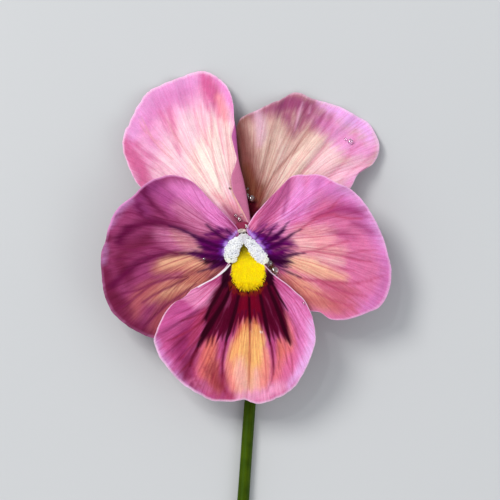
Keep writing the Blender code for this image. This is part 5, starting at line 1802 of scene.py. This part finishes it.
def make_pistil():
    """Seed case, bent style, and a lumpy round stigma with a hollow in its front."""
    points, faces = tube(smooth_curve(PISTIL, 6), 26)
    near = np.exp(-(np.linalg.norm(points - STIGMA_HOLLOW, axis=1) / 0.25) ** 2)
    points += (STIGMA - points) * 0.4 * near[:, None]
    head = smooth_step(9.3, 9.7, points[:, 2])[:, None]
    lumps = value_noise(points[:, 0] * 4, points[:, 1] * 4, 3)[:, None]
    points += (points - STIGMA) * head * (STIGMA_STRETCH + 0.3 * lumps)
    # darker olive low down towards the seed case, and darker in the stigma's hollow, which is painted shade
    deep = np.maximum(1 - smooth_step(7.2, 9.4, points[:, 2]), 0.6 * near)
    shell = Shell(("deep",))
    shell.add(points, faces, {"deep": deep})
    item = shell.make("pistil_fine", fleshy_material("pistil_flesh", (204, 190, 182), (150, 140, 112), 0.4))
    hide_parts("pistil")
    return item


def anther_lobe(angle):
    """1 at the middle of an anther and 0 between two of them."""
    return abs(math.cos(STAMEN_COUNT * angle / 2))


def anther_radius(angle, height):
    """How far the outside of the anthers stands from their middle, at a share of their height."""
    sacs = 0.045 * math.cos(STAMEN_COUNT * 2 * angle) * math.sin(math.pi * min(1.0, height * 1.1))
    swell = math.sin(math.pi * min(1.0, 0.15 + height * 0.8))
    return STAMEN_OUTER - 0.2 + (0.2 * anther_lobe(angle) + sacs) * swell


def make_stamens():
    """Five anthers side by side as a cone, each with two pollen sacs and a flat orange tip."""
    turns, rows = 150, 18
    up = [(i / rows, True) for i in range(rows + 1)]
    down = [(i / rows, False) for i in range(rows, -1, -1)]
    points, deep, faces = [], [], []
    for height, outside in up + down:
        for k in range(turns):
            angle = 2 * math.pi * k / turns
            radius = anther_radius(angle, height) if outside else STAMEN_INNER
            z = STAMEN_BASE + (STAMEN_TOP - STAMEN_BASE - 0.35 * (1 - anther_lobe(angle))) * height
            points.append((SEAT_X + radius * math.cos(angle), SEAT_Y + radius * math.sin(angle), z))
            deep.append(smooth_step(0.72, 0.86, height))
    for start in range(0, len(points), turns):
        faces += ([v % len(points) for v in face] for face in ring_faces(start, turns))
    shell = Shell(("deep",))
    shell.add(points, faces, {"deep": np.array(deep)})
    item = shell.make("stamens_fine", fleshy_material("anthers", (222, 206, 150), (204, 112, 22), 0.5))
    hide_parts("stamens")
    return item


# Sepals and stem

def green_material(name, young, old, flush):
    """Green plant skin: long fibres, a paler edge, darker veins and a flush of purple."""
    graph = Graph(name)
    place = graph.attribute("place", "Vector")
    position = graph.position()
    fibre = graph.noise(graph.scaled(place, (3.0, 0.35, 1.0)), 1.0, 3.0)
    cloud = graph.noise(position, 380.0, 3.0)
    grain = graph.noise(position, 6500.0, 2.0)
    colour = graph.mix(graph.spread(cloud, 0.3, 0.7, 0.0, 1.0), linear(young), linear(old))
    for mask, tint in (("vein", GREEN_VEIN), ("flush", flush), ("rim", GREEN_RIM)):
        colour = graph.tinted(colour, mask, tint)
    tone = graph.product(
        graph.spread(fibre, 0.25, 0.75, 0.82, 1.14), graph.spread(grain, 0.25, 0.75, 0.92, 1.08)
    )
    colour = graph.mix(1.0, colour, tone, "MULTIPLY")
    height = graph.math("ADD", fibre, graph.product(grain, 0.4))
    return graph.finish(
        colour, graph.spread(cloud, 0.2, 0.8, 0.38, 0.55), graph.bump(height, 0.00008, 0.5),
        Specular_IOR_Level=0.05, Subsurface_Weight=0.12, Subsurface_Scale=0.0005,
        Subsurface_Radius=(0.6, 1.0, 0.2),
    )


def sepal_faces(degrees, s, across):
    """The upper and the lower grid of a sepal: toothed, curled, with a keel and ribs behind."""
    turn = math.radians(degrees)
    out = np.array([math.cos(turn), math.sin(turn), 0.0])
    side = np.array([-out[1], out[0], 0.0])
    profile = even_curve(SEPAL_PROFILE, len(s) - 1)
    teeth = 1 + 0.07 * value_noise(s * 34, np.sign(across) * 3 + 7, degrees)
    half = profile[:, 2:3] * teeth
    grid = np.array([SEAT_X, SEAT_Y, 0.0]) + out * profile[:, :1, None] + side * (across * half)[..., None]
    curl = 0.12 * np.sin(s * 9 + degrees) * across
    grid[..., 2] = profile[:, 1:2] - 0.25 * across ** 2 * np.minimum(1.0, half) + curl * half
    ribs = 0.05 * np.cos(across * math.pi * 5) * np.minimum(1.0, half)
    keel = -0.10 * np.exp(-((across / 0.14) ** 2))
    normals = np.cross(np.gradient(grid, axis=0), np.gradient(grid, axis=1))
    normals = normals / np.maximum(np.linalg.norm(normals, axis=2, keepdims=True), 1e-9)
    if normals[len(s) // 2, across.size // 2, 2] > 0:
        normals = -normals
    return grid, grid + normals * (SEPAL_THICKNESS - keel - ribs)[..., None]


def sepal_masks(s, across):
    """Veins, flush, rim and places of a sepal's grid."""
    side_veins = np.exp(-(((np.abs(across) - 0.45) / 0.07) ** 2))
    midrib = np.exp(-((across / 0.10) ** 2)) + 0.5 * side_veins * np.ones(s.shape)
    return {
        "vein": 0.55 * midrib,
        "flush": 0.55 * smooth_step(0.78, 1.0, s) + 0.35 * smooth_step(0.25, 0.0, s) + 0 * across,
        "rim": 0.8 * smooth_step(0.80, 0.98, np.abs(across)) + 0 * s,
        "place": np.stack(np.broadcast_arrays(across * 4, s * 16, 0.0 * s), -1),
    }


def make_sepal(name, degrees, material):
    """A narrow green blade with its ear behind, a ribbed back and a finely toothed edge."""
    rows, columns, step = SEPAL_CELLS
    across = np.linspace(-1, 1, columns + 1)[None, :]
    s = np.linspace(0, 1, rows + 1)[:, None]
    points, faces, grid_at, _ = sheet_body(*sepal_faces(degrees, s, across), step, SEPAL_BULGE)
    masks = {key: mask[grid_at[:, 0], grid_at[:, 1]] for key, mask in sepal_masks(s, across).items()}
    shell = Shell(masks)
    shell.add(points, faces, masks)
    item = shell.make(name + "_blade", material)
    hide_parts(name)
    return item


def stem_ribs(angle, row):
    """Five soft ribs and a slight wobble, as a share of the stem's radius."""
    wobble = 0.012 * math.sin(row * 0.31) + 0.010 * math.sin(row * 0.13 + angle)
    return 0.985 + 0.028 * math.cos(5 * angle) + wobble


def add_cut_end(shell, end, inward):
    """The plain cut that closes the stem: a shallow hollow with a pale pith."""
    sides = len(end)
    middle = end.mean(axis=0)
    rings = [end] + [middle + (end - middle) * share + inward * depth for share, depth in STEM_CUT]
    last = len(STEM_CUT) * sides
    faces = [tuple(range(last, last + sides))[::-1]]
    for start in range(0, last, sides):
        faces += ((b, a, d, c) for a, b, c, d in ring_faces(start, sides))
    masks = {"rim": np.repeat(PITH, sides), "place": np.zeros((len(rings) * sides, 3))}
    shell.add(np.concatenate(rings), faces, masks)


def add_bract(shell, x, y, side):
    """A tiny flat leaf on the stem."""
    line = smooth_curve([(x + side * out, y + up, z, radius) for out, up, z, radius in BRACT], 6)
    points, faces = tube(line, 18)
    flatten(points, np.repeat(line[:, 2], 18), 0.45)
    place = np.stack([points[:, 0] * 2, points[:, 1] * 2, points[:, 2]], -1)
    shell.add(points, faces, {"flush": 0.2, "place": place})


def make_stem(material):
    """The flower stalk: five soft ribs, the swollen seat, a plain cut end and two tiny bracts."""
    path = smooth_curve(STEM, 12)
    points, faces = tube(path, STEM_SIDES, stem_ribs)
    points[:, 2] = np.maximum(points[:, 2], 0.02)
    rows = np.repeat(np.arange(len(path)), STEM_SIDES)
    angles = np.tile(np.arange(STEM_SIDES) * 2 * math.pi / STEM_SIDES, len(path))
    shell = Shell(("vein", "flush", "rim", "place"))
    shell.add(points, faces[1:], {
        "vein": 0.45 * np.clip(-np.cos(5 * angles), 0, 1),
        "flush": 0.10 + 0.25 * smooth_step(len(path) - 60, len(path) - 20, rows),
        "rim": 0.0,
        "place": np.stack([angles * 1.4, rows * 0.35, np.zeros(len(rows))], -1),
    })
    add_cut_end(shell, points[:STEM_SIDES], unit(path[1][:3] - path[0][:3]))
    for x, y, side in BRACT_PLACES:
        add_bract(shell, x, y, side)
    item = shell.make("stem_fine", material)
    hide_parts("stem")
    return item


# Water

def water_material():
    graph = Graph("water")
    film = graph.noise(graph.position(), 2500.0, 1.0)
    return graph.finish(
        linear((255, 255, 255)), graph.spread(film, 0.3, 0.7, 0.0, 0.05), graph.bump(film, 0.00002, 0.2),
        Transmission_Weight=1.0, IOR=1.33, Coat_Weight=1.0, Coat_IOR=2.6, Coat_Roughness=0.02,
    )


def drop_path(x, y, height, radius):
    """The rows of a drop from its foot up: x, y, height, radius."""
    rings = 12
    rows = []
    for k in range(rings + 1):
        angle = -0.42 * math.pi + (0.92 * math.pi) * k / rings
        rise = radius * (0.62 + 0.78 * math.sin(angle))
        rows.append((x, y, height + rise - 0.02, max(0.01, radius * math.cos(angle))))
    return np.array(rows)


def make_drops(fronts):
    """Rounded drops, a little flattened, that sit on the petals."""
    shell = Shell(())
    for number, (petal, x, y, radius) in enumerate(DROPS):
        height, _ = height_at(fronts[petal], x, y)
        points, faces = tube(drop_path(x, y, height, radius), 24)
        waver = value_noise(points[:, 0] * 1.4, points[:, 1] * 1.4 + number, 5)
        points[:, :2] += (points[:, :2] - (x, y)) * 0.10 * waver[:, None]
        shell.add(points, faces)
    return shell.make("water_drops", water_material())


# Floor, light and camera

def make_floor():
    graph = Graph("floor_pale")
    cloud = graph.noise(graph.position(), 9.0, 3.0)
    colour = graph.mix(cloud, linear((196, 198, 200)), linear((204, 205, 206)))
    material = graph.finish(colour, graph.spread(cloud, 0.2, 0.8, 0.8, 0.9), graph.bump(cloud, 0.0002, 0.1))
    edge = np.linspace(-FLOOR_HALF, FLOOR_HALF, 9)
    x, y = np.meshgrid(edge, edge, indexing="ij")
    points = np.stack([x.ravel(), y.ravel(), np.zeros(x.size)], 1)
    index = np.arange(x.size).reshape(x.shape)
    faces = np.stack([index[:-1, :-1], index[1:, :-1], index[1:, 1:], index[:-1, 1:]], -1).reshape(-1, 4)
    floor = make_object("floor", points, faces.tolist(), material, {})


def make_light(name, place, size, power, colour):
    """A round light that points at the flower."""
    light = bpy.data.lights.new(name, "AREA")
    light.shape = "DISK"
    light.size = size
    light.energy = power
    light.color = colour
    item = bpy.data.objects.new(name, light)
    bpy.context.scene.collection.objects.link(item)
    item.location = place
    x, y, z = place
    item.rotation_euler = (math.atan2(math.hypot(x, y), z), 0.0, math.atan2(-y, -x) - math.pi / 2)


def light_scene():
    world = bpy.data.worlds.new("studio")
    world.use_nodes = True
    sky = world.node_tree.nodes["Background"]
    sky.inputs["Color"].default_value = SKY_COLOUR
    sky.inputs["Strength"].default_value = SKY_STRENGTH
    bpy.context.scene.world = world
    for light in LIGHTS:
        make_light(*light)
    bpy.context.scene.view_settings.view_transform = "Standard"


def make_camera():
    """Straight above the flower: the photo's 500 pixels span 85 mm at the height of the petals."""
    data = bpy.data.cameras.new("camera")
    data.sensor_width = 36.0
    data.lens = data.sensor_width * (CAMERA_HEIGHT - PETAL_HEIGHT) / VIEW_WIDTH
    data.clip_start = 0.01
    data.clip_end = 20.0
    item = bpy.data.objects.new("camera", data)
    item.location = (*VIEW_CENTRE, CAMERA_HEIGHT)
    bpy.context.scene.collection.objects.link(item)
    bpy.context.scene.camera = item


def main():
    pieces = []
    fronts = {}
    for number, (name, petal) in enumerate(PETALS.items()):
        item, fronts[name] = make_petal(name, petal, 100 + 50 * number)
        pieces.append(item)
    white = beard_material()
    pieces += [make_beard(name, line, white) for name, line in BEARDS.items()]
    pieces.append(make_throat(fronts["petal_lower"]))
    pieces += [make_pistil(), make_stamens()]
    green = green_material("sepal_green", (112, 140, 52), (84, 118, 38), (120, 84, 92))
    for name, degrees in SEPAL_WAYS.items():
        pieces.append(make_sepal(name, degrees, green))
    pieces.append(make_stem(green_material("stem_green", (66, 92, 0), (38, 66, 0), (86, 72, 8))))
    pieces.append(make_drops(fronts))
    for piece in pieces:
        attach(piece, "root")
    make_floor()
    light_scene()
    make_camera()


main()
